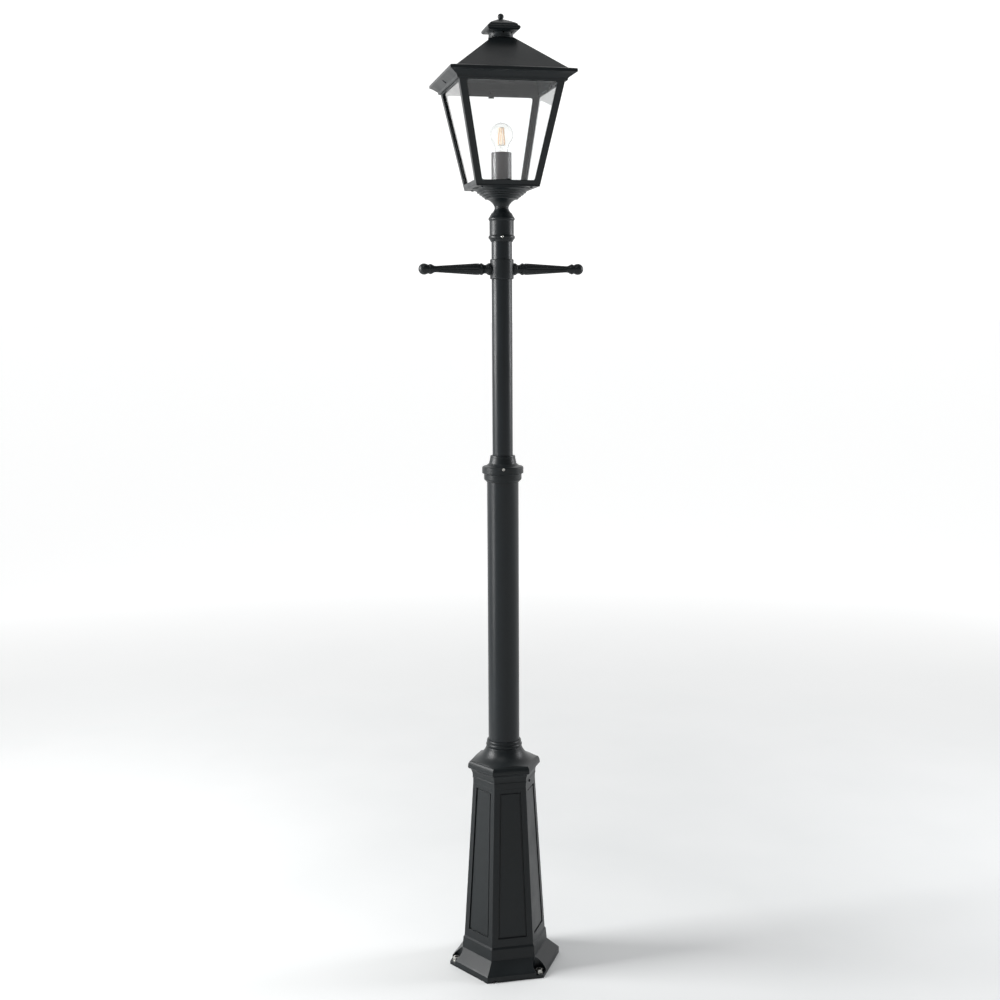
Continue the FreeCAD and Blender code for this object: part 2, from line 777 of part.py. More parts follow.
def post_top_fitter():
    bore = z.upper_pole_radius + z.slip_gap
    body = turned("post_top_fitter", [
        (bore, z.fitter_bottom), (bore + 1.2, z.fitter_bottom), (z.fitter_radius, z.fitter_bead - 4.7),
        (z.fitter_bead_radius, z.fitter_bead - 3.5), (z.fitter_bead_radius, z.fitter_bead + 3.5, 6),
        (z.fitter_radius, z.fitter_bead + 5), (z.fitter_radius, z.fitter_shoulder),
        (z.fitter_ring_radius - 1.3, z.fitter_ring - 2.6), (z.fitter_ring_radius, z.fitter_ring - 1.5),
        (z.fitter_ring_radius, z.fitter_ring + 1.5), (z.fitter_ring_radius - 1.4, z.fitter_ring + 4),
        (z.fitter_radius - 1.2, z.fitter_ring + 7), (z.fitter_top_radius + 9.4, z.fitter_top - 15),
        (z.fitter_top_radius + 8.2, z.fitter_top - 12.6), (z.fitter_top_radius + 4.6, z.fitter_top - 9.5),
        (z.fitter_top_radius, z.fitter_top - 1, -28), (z.fitter_top_radius, z.fitter_top),
        (z.stem_radius + 0.2, z.fitter_top), (z.stem_radius + 0.2, z.fitter_seat), (bore, z.fitter_seat),
    ])
    drill = radial_hole(body, "grub_hole", z.fitter_grub_radius + 0.1, SCREW_BEARING, z.fitter_bead,
                        z.fitter_ring_radius + 5)
    repeat(body, [drill], 3)
    return body


def fitter_grub_screws():
    return radial_screws("fitter_grub_screws", 3, SCREW_BEARING, z.fitter_bead,
                         grub(z.upper_pole_radius + 0.35, z.fitter_ring_radius + 1, z.fitter_grub_radius))


def stem_nipple():
    return tube("stem_nipple", z.stem_radius, z.stem_hole, z.stem_bottom, z.stem_top)


def hex_nut(label, radius, hole, bottom, height):
    body = new_body(label)
    sketch = hexagon(flat_sketch(body, label + "_outline", bottom), radius)
    circle(sketch, hole)
    extrude(body, label + "_blank", sketch, height)
    return body


def seat_washer():
    return tube("seat_washer", z.fitter_top_radius - 0.7, z.stem_radius + 0.2, z.fitter_top,
                z.fitter_top + z.seat_washer)


# lantern

def lantern_base():
    neck = z.fitter_top_radius + 0.2
    low = z.fitter_top + z.seat_washer
    hole = z.stem_radius + 0.2
    body = turned("lantern_base", [
        (hole, low), (neck, low), (neck, low + 2), (neck + 18.8, low + 19.5, -30),
        (neck + 23.6, low + 20), (neck + 24.6, low + 23), (neck + 30, low + 25.5),
        (neck + 30.8, low + 28), (neck + 36.4, low + 30), (neck + 37, low + 33),
        (neck + 42, low + 34.5), (neck + 43, low + 38), (neck + 53, z.tray_bottom - 2.5),
        (neck + 53, z.tray_bottom + 1), (hole, z.tray_bottom + 1),
    ])
    plate = square(flat_sketch(body, "tray_outline", z.tray_bottom), z.tray_width)
    extrude(body, "tray", plate, z.tray_thickness)
    bore = circle(flat_sketch(body, "stem_hole_outline", low), hole)
    extrude(body, "stem_bore", bore, z.tray_bottom, cut=True, flip=True)
    drill = flat_sketch(body, "tray_hole_outline", z.tray_bottom + z.tray_thickness)
    circle(drill, 2.2, z.boss_place, z.boss_place)
    holes = extrude(body, "tray_hole", drill, 20, cut=True)
    repeat(body, [holes], 4)
    earth = circle(flat_sketch(body, "earth_hole_outline", z.tray_bottom + z.tray_thickness), 2, 0, -14.5)
    extrude(body, "earth_hole", earth, 8, cut=True)
    return body


def tray_screws():
    head = z.tray_bottom
    return upright_screws("tray_screws", 4, 45, z.boss_place * math.sqrt(2), [
        (0, head - 2.4), (3.8, head, dome(3.8, 2.4)), (2, head), (2, z.boss_top - 3), (0, z.boss_top - 3),
    ])


def frame_lean():
    """Half the lantern frame's spread for each millimetre of height."""
    return (z.frame_top_width - z.frame_bottom_width) / 2 / (z.frame_bend - z.tray_bottom - z.tray_thickness)


def frame_half(height):
    return z.frame_bottom_width / 2 + frame_lean() * (height - z.tray_bottom - z.tray_thickness)


def lantern_frame():
    body = new_body("lantern_frame")
    low = z.tray_bottom + z.tray_thickness
    floor = low + z.frame_flange
    inner_top = z.frame_top_width - z.frame_wall * 2
    loft(body, "frame_outside", square, [
        (z.frame_bottom_width, low), (z.frame_top_width, z.frame_bend), (z.frame_top_width, z.frame_top),
    ])
    loft(body, "frame_inside", square, [
        (frame_half(floor) * 2 - z.frame_wall * 2, floor), (inner_top, z.frame_bend),
        (inner_top, z.frame_top + 1),
    ], cut=True)
    opening = square(flat_sketch(body, "floor_outline", floor), z.frame_floor_hole)
    extrude(body, "floor_opening", opening, z.frame_flange * 2, cut=True)
    boss = square(flat_sketch(body, "boss_outline", floor - 1), z.boss_size, z.boss_place, z.boss_place)
    bosses = extrude(body, "screw_boss", boss, z.boss_top - floor + 1)
    drill = circle(flat_sketch(body, "boss_hole_outline", low), 2.1, z.boss_place, z.boss_place)
    holes = extrude(body, "boss_hole", drill, z.boss_top - low - 2, cut=True, flip=True)
    clip_hole = circle(flat_sketch(body, "clip_hole_outline", floor), 1.6, 0, -61)
    clip_holes = extrude(body, "clip_hole", clip_hole, z.frame_flange * 2, cut=True)
    repeat(body, [bosses, holes, clip_holes], 4)
    side_hole = radial_hole(body, "side_hole", 1.6, -90, z.clip_screw_height,
                            z.frame_top_width / 2 - 0.6)
    window = upright_sketch(body, "window_outline")
    outline(window, rounded([
        (-z.window_half_bottom, z.window_bottom), (z.window_half_bottom, z.window_bottom),
        (z.window_half_top, z.window_top), (-z.window_half_top, z.window_top),
    ], z.window_corner))
    opening = extrude(body, "window", window, z.frame_top_width, cut=True)
    repeat(body, [side_hole, opening], 4)
    return body


def glass_pane(label, turn):
    """A leaning pane that rests on the frame's floor flange, just inside the frame's wall."""
    body = new_body(label)
    foot = z.tray_bottom + z.tray_thickness + z.frame_flange + 0.4
    lean = math.atan(frame_lean().value)
    face = frame_half(foot) - z.frame_wall - z.slip_gap
    sketch = upright_sketch(body, label + "_outline", 0, foot)
    sketch.AttachmentOffset = Placement(
        Vector(0, foot.value, face.value), Rotation(Vector(1, 0, 0), math.degrees(lean)))
    bind(sketch, "AttachmentOffset.Base.z", face)
    slant = (z.pane_top - foot) / math.cos(lean)
    low = frame_half(foot) - z.frame_wall - z.pane_side_gap
    high = frame_half(z.pane_top) - z.frame_wall - z.pane_side_gap
    outline(sketch, [(-low, 0), (low, 0), (high, slant), (-high, slant)])
    extrude(body, label + "_sheet", sketch, z.pane_thickness, flip=True)
    body.Placement = Placement(Vector(), Rotation(Vector(0, 0, 1), turn))
    return body


def glass_clips():
    """Four angle clips on the floor flange and four cranked clips under the top rail."""
    body = new_body("glass_clips")
    floor = z.tray_bottom + z.tray_thickness + z.frame_flange
    leg = frame_half(floor) - z.frame_wall - z.pane_thickness - 1
    foot = upright_sketch(body, "foot_clip_section", -90)
    outline(foot, [
        (leg - 13, floor), (leg, floor), (leg, floor + 12), (leg - 1, floor + 12),
        (leg - 1, floor + 1), (leg - 13, floor + 1),
    ])
    lower = extrude(body, "foot_clip", foot, z.clip_width, both=True)
    wall = z.frame_top_width / 2 - z.frame_wall
    head = upright_sketch(body, "head_clip_section", -90)
    outline(head, [
        (wall - 1, z.pane_top + 11.5), (wall - 1, z.pane_top + 2.5), (wall - 6.8, z.pane_top + 2.5),
        (wall - 6.8, z.pane_top - 9.5), (wall - 5.8, z.pane_top - 9.5), (wall - 5.8, z.pane_top + 1.5),
        (wall, z.pane_top + 1.5), (wall, z.pane_top + 11.5),
    ])
    upper = extrude(body, "head_clip", head, z.clip_width, both=True)
    drill = circle(flat_sketch(body, "foot_hole_outline", floor + 1), 1.6, 0, -61)
    foot_hole = extrude(body, "foot_hole", drill, 2, cut=True)
    head_hole = radial_hole(body, "head_hole", 1.6, -90, z.clip_screw_height, z.frame_top_width / 2)
    repeat(body, [lower, upper, foot_hole, head_hole], 4)
    return body


def clip_screws():
    body = new_body("clip_screws")
    floor = z.tray_bottom + z.tray_thickness + z.frame_flange + 1
    foot = upright_sketch(body, "foot_screw_section", -90, 0, 61)
    outline(foot, [(0, floor - 3.6), (1.5, floor - 3.6), (1.5, floor), (3, floor),
                   (0, floor + 1.8, dome(3, 1.8))])
    lower = spin(body, "foot_screw", foot)
    face = z.frame_top_width / 2 - z.frame_wall - 1
    head = upright_sketch(body, "head_screw_section", -90, z.clip_screw_height)
    outline(head, [(face - 1.8, 0), (face, -3, dome(3, 1.8)), (face, -1.5), (face + 4.2, -1.5),
                   (face + 4.2, 0)])
    upper = spin(body, "head_screw", head, "H_Axis")
    repeat(body, [lower, upper], 4)
    return body


# roof

def roof():
    body = new_body("roof")
    lip = z.roof_lip_width
    loft(body, "roof_outside", square, [
        (lip - 2.3, z.roof_bottom), (lip, z.roof_bottom + 1.5), (lip + 1.2, z.roof_bottom + 5.5),
        (lip + 5, z.roof_bottom + 7), (lip + 13, z.roof_bottom + 10), (lip + 23, z.roof_bottom + 14),
        (lip + 33, z.roof_bottom + 16.8), (z.roof_width, z.roof_edge - 6.5),
        (z.roof_width, z.roof_edge), (z.roof_width - 3, z.roof_edge + 1.2),
        (z.roof_foot_width, z.roof_foot),
        (z.roof_top_width, z.roof_top - 0.7), (z.roof_top_width - 1, z.roof_top),
    ])
    pocket = square(flat_sketch(body, "socket_outline", z.roof_bottom - 1), z.roof_socket_width)
    extrude(body, "frame_socket", pocket, z.roof_seat - z.roof_bottom + 1, cut=True, flip=True)
    loft(body, "roof_inside", square, [
        (z.roof_inner_width, z.roof_seat - 1), (z.roof_inner_width, z.roof_foot + 1),
        (z.roof_ceiling_width, z.roof_ceiling),
    ], cut=True)
    vent = circle(flat_sketch(body, "vent_outline", z.roof_ceiling - 5), z.roof_vent)
    extrude(body, "vent", vent, 20, cut=True, flip=True)
    hole = radial_hole(body, "screw_hole", 2.6, 0, z.roof_screw_height, z.roof_width / 2)
    sink = radial_hole(body, "screw_sink", 4.4, 0, z.roof_screw_height, 20, start=z.roof_screw_face)
    repeat(body, [hole, sink], 2)
    return body


def roof_screws():
    face = z.roof_screw_face
    tip = z.frame_top_width / 2 + 0.35
    return radial_screws("roof_screws", 2, 0, z.roof_screw_height, [
        (tip, 0), (tip, -1.5), (tip + 1, -2.5), (face, -2.5), (face, -4.1), (face + 2.6, -4.1),
        (face + 3.6, -3), (face + 3.6, -1.6), (face + 1.6, -1.6), (face + 1.6, 0),
    ])


def vent_neck():
    radius = z.vent_neck_radius
    body = turned("vent_neck", [
        (z.roof_vent, z.roof_top), (radius + 1, z.roof_top), (radius + 1, z.roof_top + 2.3),
        (radius + 0.2, z.roof_top + 3.8), (radius, z.roof_top + 9.5),
        (radius + 5.6, z.vent_neck_top - 1, -8.5), (radius + 5.6, z.vent_neck_top),
        (z.roof_vent, z.vent_neck_top),
    ])
    hole = radial_hole(body, "vent_hole", 2.2, 0, z.vent_neck_top - 4.5, radius + 8)
    repeat(body, [hole], 8)
    return body


def vent_cap():
    body = new_body("vent_cap")
    width = z.cap_width
    rim = z.cap_rim
    half = rim - z.vent_neck_top
    sections = []
    steps = 8
    for step in range(steps + 1):
        turn = math.radians(-80 + 160 * step / steps)
        sections.append((width - half * 2 * (1 - math.cos(turn)), rim + half * math.sin(turn)))
    sections[0] = (sections[0][0], z.vent_neck_top)
    sections += [(width - 13, rim + 9.3), (width - 22, rim + 12.4), (width - 36, rim + 15.8),
                 (width - 50, rim + 19.2), (14, z.cap_apex)]
    loft(body, "cap_outside", square, sections)
    hollow = outline(upright_sketch(body, "hollow_section"), [
        (0, z.vent_neck_top - 1), (24, z.vent_neck_top - 1), (24, rim), (8, rim + 10), (0, rim + 10),
    ])
    spin(body, "cap_hollow", hollow, cut=True)
    hole = circle(flat_sketch(body, "rod_hole_outline", rim), z.tie_rod_radius + 0.1)
    extrude(body, "rod_hole", hole, 40, cut=True, flip=True)
    return body


def finial():
    low = z.cap_apex
    neck = 5.2
    bottom_of_ball = z.finial_top - z.finial_ball - math.sqrt(z.finial_ball.value ** 2 - neck ** 2)
    return turned("finial", [
        (z.tie_rod_radius + 0.1, low), (6.8, low), (neck, low + 1.4), (neck, bottom_of_ball),
        (z.finial_ball, z.finial_top - z.finial_ball, z.finial_ball), (0, z.finial_top, z.finial_ball),
        (0, low + 9), (z.tie_rod_radius + 0.1, low + 9),
    ])


def tie_rod():
    return turned("tie_rod", [
        (0, z.tie_rod_bottom), (z.tie_rod_radius, z.tie_rod_bottom),
        (z.tie_rod_radius, z.cap_apex + 8.5), (0, z.cap_apex + 8.5),
    ])


def tie_bridge():
    body = new_body("tie_bridge")
    sketch = flat_sketch(body, "bridge_outline", z.roof_ceiling - 3)
    outline(sketch, [(-21, -6), (21, -6), (21, 6), (-21, 6)])
    circle(sketch, z.tie_rod_radius + 0.1)
    extrude(body, "bridge_strip", sketch, 3)
    return body


# lampholder and bulb

def holder_sleeve():
    low = z.tray_bottom + z.tray_thickness
    outer = z.sleeve_radius
    inner = outer - z.sleeve_wall
    hole = z.stem_radius + 0.2
    body = turned("holder_sleeve", [
        (hole, low), (outer, low), (outer, z.sleeve_top - 1.6), (outer - 1.6, z.sleeve_top, 1.6),
        (outer - 3.4, z.sleeve_top), (outer - 3.4, z.sleeve_top - 2), (inner, z.sleeve_top - 3),
        (inner, low + 3), (hole, low + 3),
    ])
    drill = circle(flat_sketch(body, "earth_hole_outline", low + 3), 2, 0, -14.5)
    extrude(body, "earth_hole", drill, 8, cut=True)
    return body


def lampholder_body():
    low = z.holder_bottom
    outer = z.holder_radius
    return turned("lampholder_body", [
        (z.stem_radius + 0.1, low - 12), (9, low - 12), (9, low), (outer - 2, low), (outer, low + 2),
        (outer, z.holder_top), (z.shell_radius + 0.8, z.holder_top), (z.shell_radius + 0.8, low + 18),
        (0, low + 18), (0, low - 2), (z.stem_radius + 0.1, low - 2),
    ])


def lampholder_shell():
    return tube("lampholder_shell", z.shell_radius + 0.7, z.shell_radius, z.holder_bottom + 20,
                z.holder_top - 1)


def lampholder_contact():
    low = z.holder_bottom + 18
    return turned("lampholder_contact", [
        (0, low), (6, low), (6, low + 1), (2.5, low + 3.3), (0, low + 3.3),
    ])


def terminal_block():
    body = new_body("terminal_block")
    low = z.tray_bottom + z.tray_thickness + 3
    sketch = flat_sketch(body, "block_outline", low)
    outline(sketch, [(-12, 9), (12, 9), (12, 17), (-12, 17)])
    extrude(body, "block", sketch, 11)
    for place in (-8, 0, 8):
        top = circle(flat_sketch(body, "screw_well", low + 11), 1.9, place, 13)
        extrude(body, "well", top, 3, cut=True)
    return body


def earth_screw():
    body = new_body("earth_screw")
    head = z.tray_bottom + z.tray_thickness + 3
    sketch = upright_sketch(body, "earth_screw_section", -90, 0, 14.5)
    outline(sketch, [(0, head - 6), (1.8, head - 6), (1.8, head), (3.5, head), (3.5, head + 1.2),
                     (0, head + 2.6, dome(3.5, 1.4))])
    spin(body, "earth_screw_turning", sketch)
    return body


def bulb_glass():
    neck = z.bulb_neck_radius
    ball = z.bulb_radius
    wall = z.bulb_wall
    centre = z.bulb_centre
    cap = z.bulb_cap_top
    join_angle = math.radians(40)
    along = math.cos(join_angle)
    down = math.sin(join_angle)
    return turned("bulb_glass", [
        (neck - wall, cap - 8), (neck, cap - 8), (neck, cap), (neck + 3, cap + 7),
        (ball * along, centre - ball * down, -36), (ball, centre, ball), (0, centre + ball, ball),
        (0, centre + ball - wall), (ball - wall, centre, -(ball - wall)),
        ((ball - wall) * along, centre - (ball - wall) * down, -(ball - wall)),
        (neck + 3 - wall, cap + 7, 36.8), (neck - wall, cap + 0.3),
    ])


def bulb_cap():
    """Thin sheet shell with rolled thread ridges, closed at the top by the neck."""
    low = z.bulb_cap_bottom
    outer = z.bulb_cap_radius
    wall = 0.35
    ridges = 5
    outside = [(outer - 1.2, low)]
    inside = [(outer - 1.2 - wall, low)]
    for ridge in range(ridges):
        foot = low + 1.5 + z.thread_pitch * ridge
        outside += [(outer - 0.6, foot), (outer, foot + z.thread_pitch / 2, 3)]
        inside += [(outer - 0.6 - wall, foot), (outer - wall, foot + z.thread_pitch / 2)]
    outside.append((outer - 0.3, z.bulb_cap_top))
    inside.append((outer - 0.3 - wall, z.bulb_cap_top))
    return turned("bulb_cap", outside + inside[::-1])


def bulb_insulator():
    low = z.bulb_cap_bottom
    return turned("bulb_insulator", [
        (0, low - 2.4), (5, low - 2.4), (z.bulb_cap_radius - 1.6, low - 0.1),
        (z.bulb_cap_radius - 1.6, low + 0.8), (0, low + 0.8),
    ])


def bulb_contact():
    low = z.bulb_cap_bottom - 4.3
    return turned("bulb_contact", [
        (0, low), (3, low + 0.4, dome(3, 0.4)), (4.6, low + 1.9), (0, low + 1.9),
    ])


def bulb_stem():
    low = z.bulb_cap_top - 6
    return turned("bulb_stem", [
        (0, low), (9, low), (8, low + 5), (3.2, low + 14, -12), (2.6, low + 24), (3.2, low + 27, 3),
        (0, low + 28.5, dome(3.2, 1.5)),
    ])


def filament_ends(number):
    turn = math.radians(360 * (number + 0.5) / z.filament_count.value)
    foot = Vector(z.filament_foot.value * math.cos(turn), z.filament_foot.value * math.sin(turn),
                  z.filament_bottom.value)
    head = Vector(z.filament_head.value * math.cos(turn), z.filament_head.value * math.sin(turn),
                  z.filament_top.value)
    return foot, head


def rod_between(start, end, radius):
    return Part.makeCylinder(radius, (end - start).Length, start, end - start)


def bulb_filaments():
    """Light-emitting sticks that lean together towards the top."""
    sticks = [rod_between(*filament_ends(number), z.filament_radius.value)
              for number in range(int(z.filament_count.value))]
    item = doc.addObject("Part::Feature", "bulb_filaments")
    item.Shape = Part.makeCompound(sticks)
    return item


def bulb_supports():
    """A wire mast on the stem, with spokes that carry the sticks' feet and heads."""
    low = z.bulb_cap_top.value + 22.5
    mast_top = z.filament_top.value + 1.2
    wire = 0.45
    shape = Part.makeCylinder(wire, mast_top - low, Vector(0, 0, low))
    for number in range(int(z.filament_count.value)):
        foot, head = filament_ends(number)
        for end, gap in ((foot, -0.6), (head, 0.6)):
            level = end.z + gap
            tip = Vector(end.x, end.y, level)
            shape = shape.fuse(rod_between(Vector(0, 0, level), tip, wire))
    item = doc.addObject("Part::Feature", "bulb_supports")
    item.Shape = shape.removeSplitter()
    return item


# build

def build():
    pieces = [
        base_casting(), anchor_nuts(), anchor_washers(), pedestal_cap(), cap_screws(),
        socket_screws(), lower_pole(), pole_reducer(), reducer_grub_screws(), upper_pole(),
        ladder_collar(), collar_grub_screw(), ladder_bar("ladder_bar_left", 180),
        ladder_bar("ladder_bar_right", 0), post_top_fitter(), fitter_grub_screws(), stem_nipple(),
        hex_nut("stem_locknut_lower", z.nut_radius, z.stem_radius + 0.1, z.fitter_seat - z.nut_height,
                z.nut_height),
        hex_nut("stem_locknut_upper", z.nut_radius, z.stem_radius + 0.1,
                z.tray_bottom + z.tray_thickness + 3, z.nut_height),
        seat_washer(), lantern_base(), tray_screws(), lantern_frame(),
    ]
    for side, turn in (("front", 0), ("right", 90), ("rear", 180), ("left", 270)):
        pieces.append(glass_pane("glass_" + side, turn))
    pieces += [
        glass_clips(), clip_screws(), roof(), roof_screws(), vent_neck(), vent_cap(), finial(),
        tie_rod(), tie_bridge(),
        hex_nut("tie_nut", as_size(5.8), z.tie_rod_radius + 0.1, z.roof_ceiling - 8, 5),
        holder_sleeve(), lampholder_body(), lampholder_shell(), lampholder_contact(),
        terminal_block(), earth_screw(), bulb_glass(), bulb_cap(), bulb_insulator(),
        bulb_contact(), bulb_stem(), bulb_supports(), bulb_filaments(),
    ]
    return pieces


def check(pieces):
    for item in doc.Objects:
        if "Invalid" in item.State or "Error" in item.State:
            raise RuntimeError(f"{item.Label} did not recompute: {item.State}")
    for piece in pieces:
        if piece.Shape.isNull() or not piece.Shape.isValid() or not piece.Shape.Solids:
            raise RuntimeError(f"{piece.Label} has no valid solid")


pieces = build()
doc.recompute()
check(pieces)
os.makedirs("parts", exist_ok=True)
for piece in pieces:
    piece.Shape.exportStep(f"parts/{piece.Label}.step")
    box = piece.Shape.BoundBox
    volume = piece.Shape.Volume / 1000
    print(f"{piece.Label:22s} solids {len(piece.Shape.Solids):2d}  volume {volume:9.2f} cm3"
          f"  z {box.ZMin:8.2f} to {box.ZMax:8.2f}")
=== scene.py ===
import json
import math
import bmesh
import bpy
from mathutils import Matrix, Vector


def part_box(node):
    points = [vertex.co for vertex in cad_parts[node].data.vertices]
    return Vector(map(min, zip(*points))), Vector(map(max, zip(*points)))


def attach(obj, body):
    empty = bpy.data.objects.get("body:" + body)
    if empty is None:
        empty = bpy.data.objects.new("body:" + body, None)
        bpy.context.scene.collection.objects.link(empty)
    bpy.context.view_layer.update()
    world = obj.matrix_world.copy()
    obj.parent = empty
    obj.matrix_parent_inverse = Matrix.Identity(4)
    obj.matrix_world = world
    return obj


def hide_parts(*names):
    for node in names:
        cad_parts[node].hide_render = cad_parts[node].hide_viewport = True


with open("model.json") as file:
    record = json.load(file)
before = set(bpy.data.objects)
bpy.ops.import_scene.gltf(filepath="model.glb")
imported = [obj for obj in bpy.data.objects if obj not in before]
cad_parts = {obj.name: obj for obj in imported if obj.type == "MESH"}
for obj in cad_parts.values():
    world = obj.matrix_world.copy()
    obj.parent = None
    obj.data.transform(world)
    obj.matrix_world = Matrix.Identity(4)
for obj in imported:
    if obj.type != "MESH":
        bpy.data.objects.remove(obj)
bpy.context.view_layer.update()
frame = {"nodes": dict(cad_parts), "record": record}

# A black garden lamp post with a four-sided lantern. Metres, +Z up, in the frame's own axes.

nodes = frame["nodes"]
scene = bpy.context.scene
mm = 0.001
metreMm = 1000  # a noise's scale is lumps per metre, so it is this over a lump's width
noiseSpan = {"From Min": 0.3, "From Max": 0.7}  # most of a noise lies between these
wideSpan = {"From Min": 0.25, "From Max": 0.75}  # a little wider, for a softer change


def linearColour(hexText):
    # the one place where an sRGB hex colour turns into Blender's linear values
    values = [int(hexText[place:place + 2], 16) / 255 for place in (1, 3, 5)]
    return [v / 12.92 if v <= 0.04045 else ((v + 0.055) / 1.055) ** 2.4 for v in values] + [1.0]


def addNode(tree, kind, values=None, links=None, **settings):
    # values go on the node's own sockets, links are the sockets that feed it
    node = tree.nodes.new(kind)
    for name, value in settings.items():
        setattr(node, name, value)
    for socket, value in (values or {}).items():
        node.inputs[socket].default_value = value
    for socket, source in (links or {}).items():
        tree.links.new(source, node.inputs[socket])
    return node


def newMaterial(name):
    material = bpy.data.materials.new(name)
    material.use_nodes = True
    material.node_tree.nodes.clear()
    return material, material.node_tree


def powderCoat(name, look):
    # Polyester powder coat, sprayed on and baked: a satin skin that softens every edge, with
    # faint orange peel, slow waves from the metal under it, and dust where a face looks up.
    # Its IOR is set under the resin's 1.5, so that faces turned to a dim wall stay nearly black.
    # Dust starts where the face's normal points up by more than dustTilt.
    material, tree = newMaterial(name)
    place = addNode(tree, "ShaderNodeTexCoord").outputs["Object"]
    mottle = addNode(tree, "ShaderNodeTexNoise", {"Scale": metreMm / look["mottleMm"], "Detail": 4.0},
                     {"Vector": place}).outputs["Fac"]
    peel = addNode(tree, "ShaderNodeTexNoise", {"Scale": metreMm / look["peelMm"], "Detail": 2.0},
                   {"Vector": place}).outputs["Fac"]
    wave = addNode(tree, "ShaderNodeTexNoise", {"Scale": metreMm / look["waveMm"], "Detail": 3.0},
                   {"Vector": place}).outputs["Fac"]
    colour = addNode(tree, "ShaderNodeMix", {
        6: linearColour(look["dark"]), 7: linearColour(look["light"])},
        {0: mottle}, data_type="RGBA").outputs[2]
    facing = addNode(tree, "ShaderNodeNewGeometry").outputs["Normal"]
    upward = addNode(tree, "ShaderNodeSeparateXYZ", links={"Vector": facing}).outputs["Z"]
    settled = addNode(tree, "ShaderNodeMapRange", {
        "From Min": look["dustTilt"], "To Max": look["dust"]}, {"Value": upward}).outputs[0]
    patchy = addNode(tree, "ShaderNodeMath", links={0: settled, 1: mottle},
                     operation="MULTIPLY").outputs[0]
    dusty = addNode(tree, "ShaderNodeMix", {7: linearColour(look["dustColour"])},
                    {0: patchy, 6: colour}, data_type="RGBA").outputs[2]
    glossiest, dullest = look["roughness"]
    shine = addNode(tree, "ShaderNodeMapRange", {**wideSpan, "To Min": glossiest, "To Max": dullest},
                    {"Value": mottle}).outputs[0]
    edge = addNode(tree, "ShaderNodeBevel", {"Radius": look["edgeMm"] * mm}, samples=4).outputs[0]
    wavy = addNode(tree, "ShaderNodeBump", {"Distance": look["waveDepthMm"] * mm},
                   {"Height": wave, "Normal": edge}).outputs[0]
    skin = addNode(tree, "ShaderNodeBump", {"Distance": look["peelDepthMm"] * mm},
                   {"Height": peel, "Normal": wavy}).outputs[0]
    shader = addNode(tree, "ShaderNodeBsdfPrincipled", {"IOR": 1.38, "Metallic": 0.0},
                     {"Base Color": dusty, "Roughness": shine, "Normal": skin})
    addNode(tree, "ShaderNodeOutputMaterial", links={"Surface": shader.outputs[0]})
    return material


# Both coats draw the fine grain coarser than life, at 1.6 to 2 mm, so that it shows at all
castingCoat = powderCoat("satinPowderCoatOnCasting", {
    "dark": "#090e10", "light": "#12191c", "mottleMm": 60, "peelMm": 2.0, "peelDepthMm": 0.05,
    "waveMm": 14, "waveDepthMm": 0.16, "roughness": (0.33, 0.44), "edgeMm": 1.4,
    "dust": 0.08, "dustTilt": 0.6, "dustColour": "#6d6f6e"})
# Drawn tube is truer than a casting: longer, shallower waves and no dust on an upright wall
tubeCoat = powderCoat("satinPowderCoatOnTube", {
    "dark": "#0b1013", "light": "#131a1e", "mottleMm": 90, "peelMm": 1.6, "peelDepthMm": 0.03,
    "waveMm": 40, "waveDepthMm": 0.05, "roughness": (0.29, 0.40), "edgeMm": 0.8,
    "dust": 0.0, "dustTilt": 0.6, "dustColour": "#6d6f6e"})
print("coats ready")


def bareMetal(name, look):
    # Turned or stamped metal with a plated surface: streaks follow the tool, blotches the plating
    material, tree = newMaterial(name)
    place = addNode(tree, "ShaderNodeTexCoord").outputs["Object"]
    blotch = addNode(tree, "ShaderNodeTexNoise", {"Scale": metreMm / look["blotchMm"], "Detail": 4.0},
                     {"Vector": place}).outputs["Fac"]
    drawn = addNode(tree, "ShaderNodeMapping", {"Scale": (1.0, 1.0, look["stretch"])},
                    {"Vector": place}).outputs[0]
    streak = addNode(tree, "ShaderNodeTexNoise", {"Scale": metreMm / look["streakMm"], "Detail": 3.0},
                     {"Vector": drawn}).outputs["Fac"]
    colour = addNode(tree, "ShaderNodeMix", {
        6: linearColour(look["dark"]), 7: linearColour(look["light"])},
        {0: blotch}, data_type="RGBA").outputs[2]
    glossiest, dullest = look["roughness"]
    shine = addNode(tree, "ShaderNodeMapRange", {**noiseSpan, "To Min": glossiest, "To Max": dullest},
                    {"Value": streak}).outputs[0]
    edge = addNode(tree, "ShaderNodeBevel", {"Radius": look["edgeMm"] * mm}, samples=4).outputs[0]
    grain = addNode(tree, "ShaderNodeBump", {"Distance": look["streakDepthMm"] * mm},
                    {"Height": streak, "Normal": edge}).outputs[0]
    shader = addNode(tree, "ShaderNodeBsdfPrincipled", {"Metallic": 1.0},
                     {"Base Color": colour, "Roughness": shine, "Normal": grain})
    addNode(tree, "ShaderNodeOutputMaterial", links={"Surface": shader.outputs[0]})
    return material


# The streaks of all five metals are drawn coarser than real tool marks, so that they show.
# Bright zinc is a slightly cloudy silver.
zincPlate = bareMetal("brightZincPlate", {
    "dark": "#a9a8a2", "light": "#dadad6", "blotchMm": 5, "streakMm": 1.2, "stretch": 4,
    "streakDepthMm": 0.02, "edgeMm": 0.3, "roughness": (0.22, 0.40)})
# Black passivation over zinc leaves a dull charcoal that catches little light
blackZinc = bareMetal("blackPassivatedZinc", {
    "dark": "#1b1d20", "light": "#34373b", "blotchMm": 4, "streakMm": 1.2, "stretch": 3,
    "streakDepthMm": 0.02, "edgeMm": 0.3, "roughness": (0.34, 0.52)})
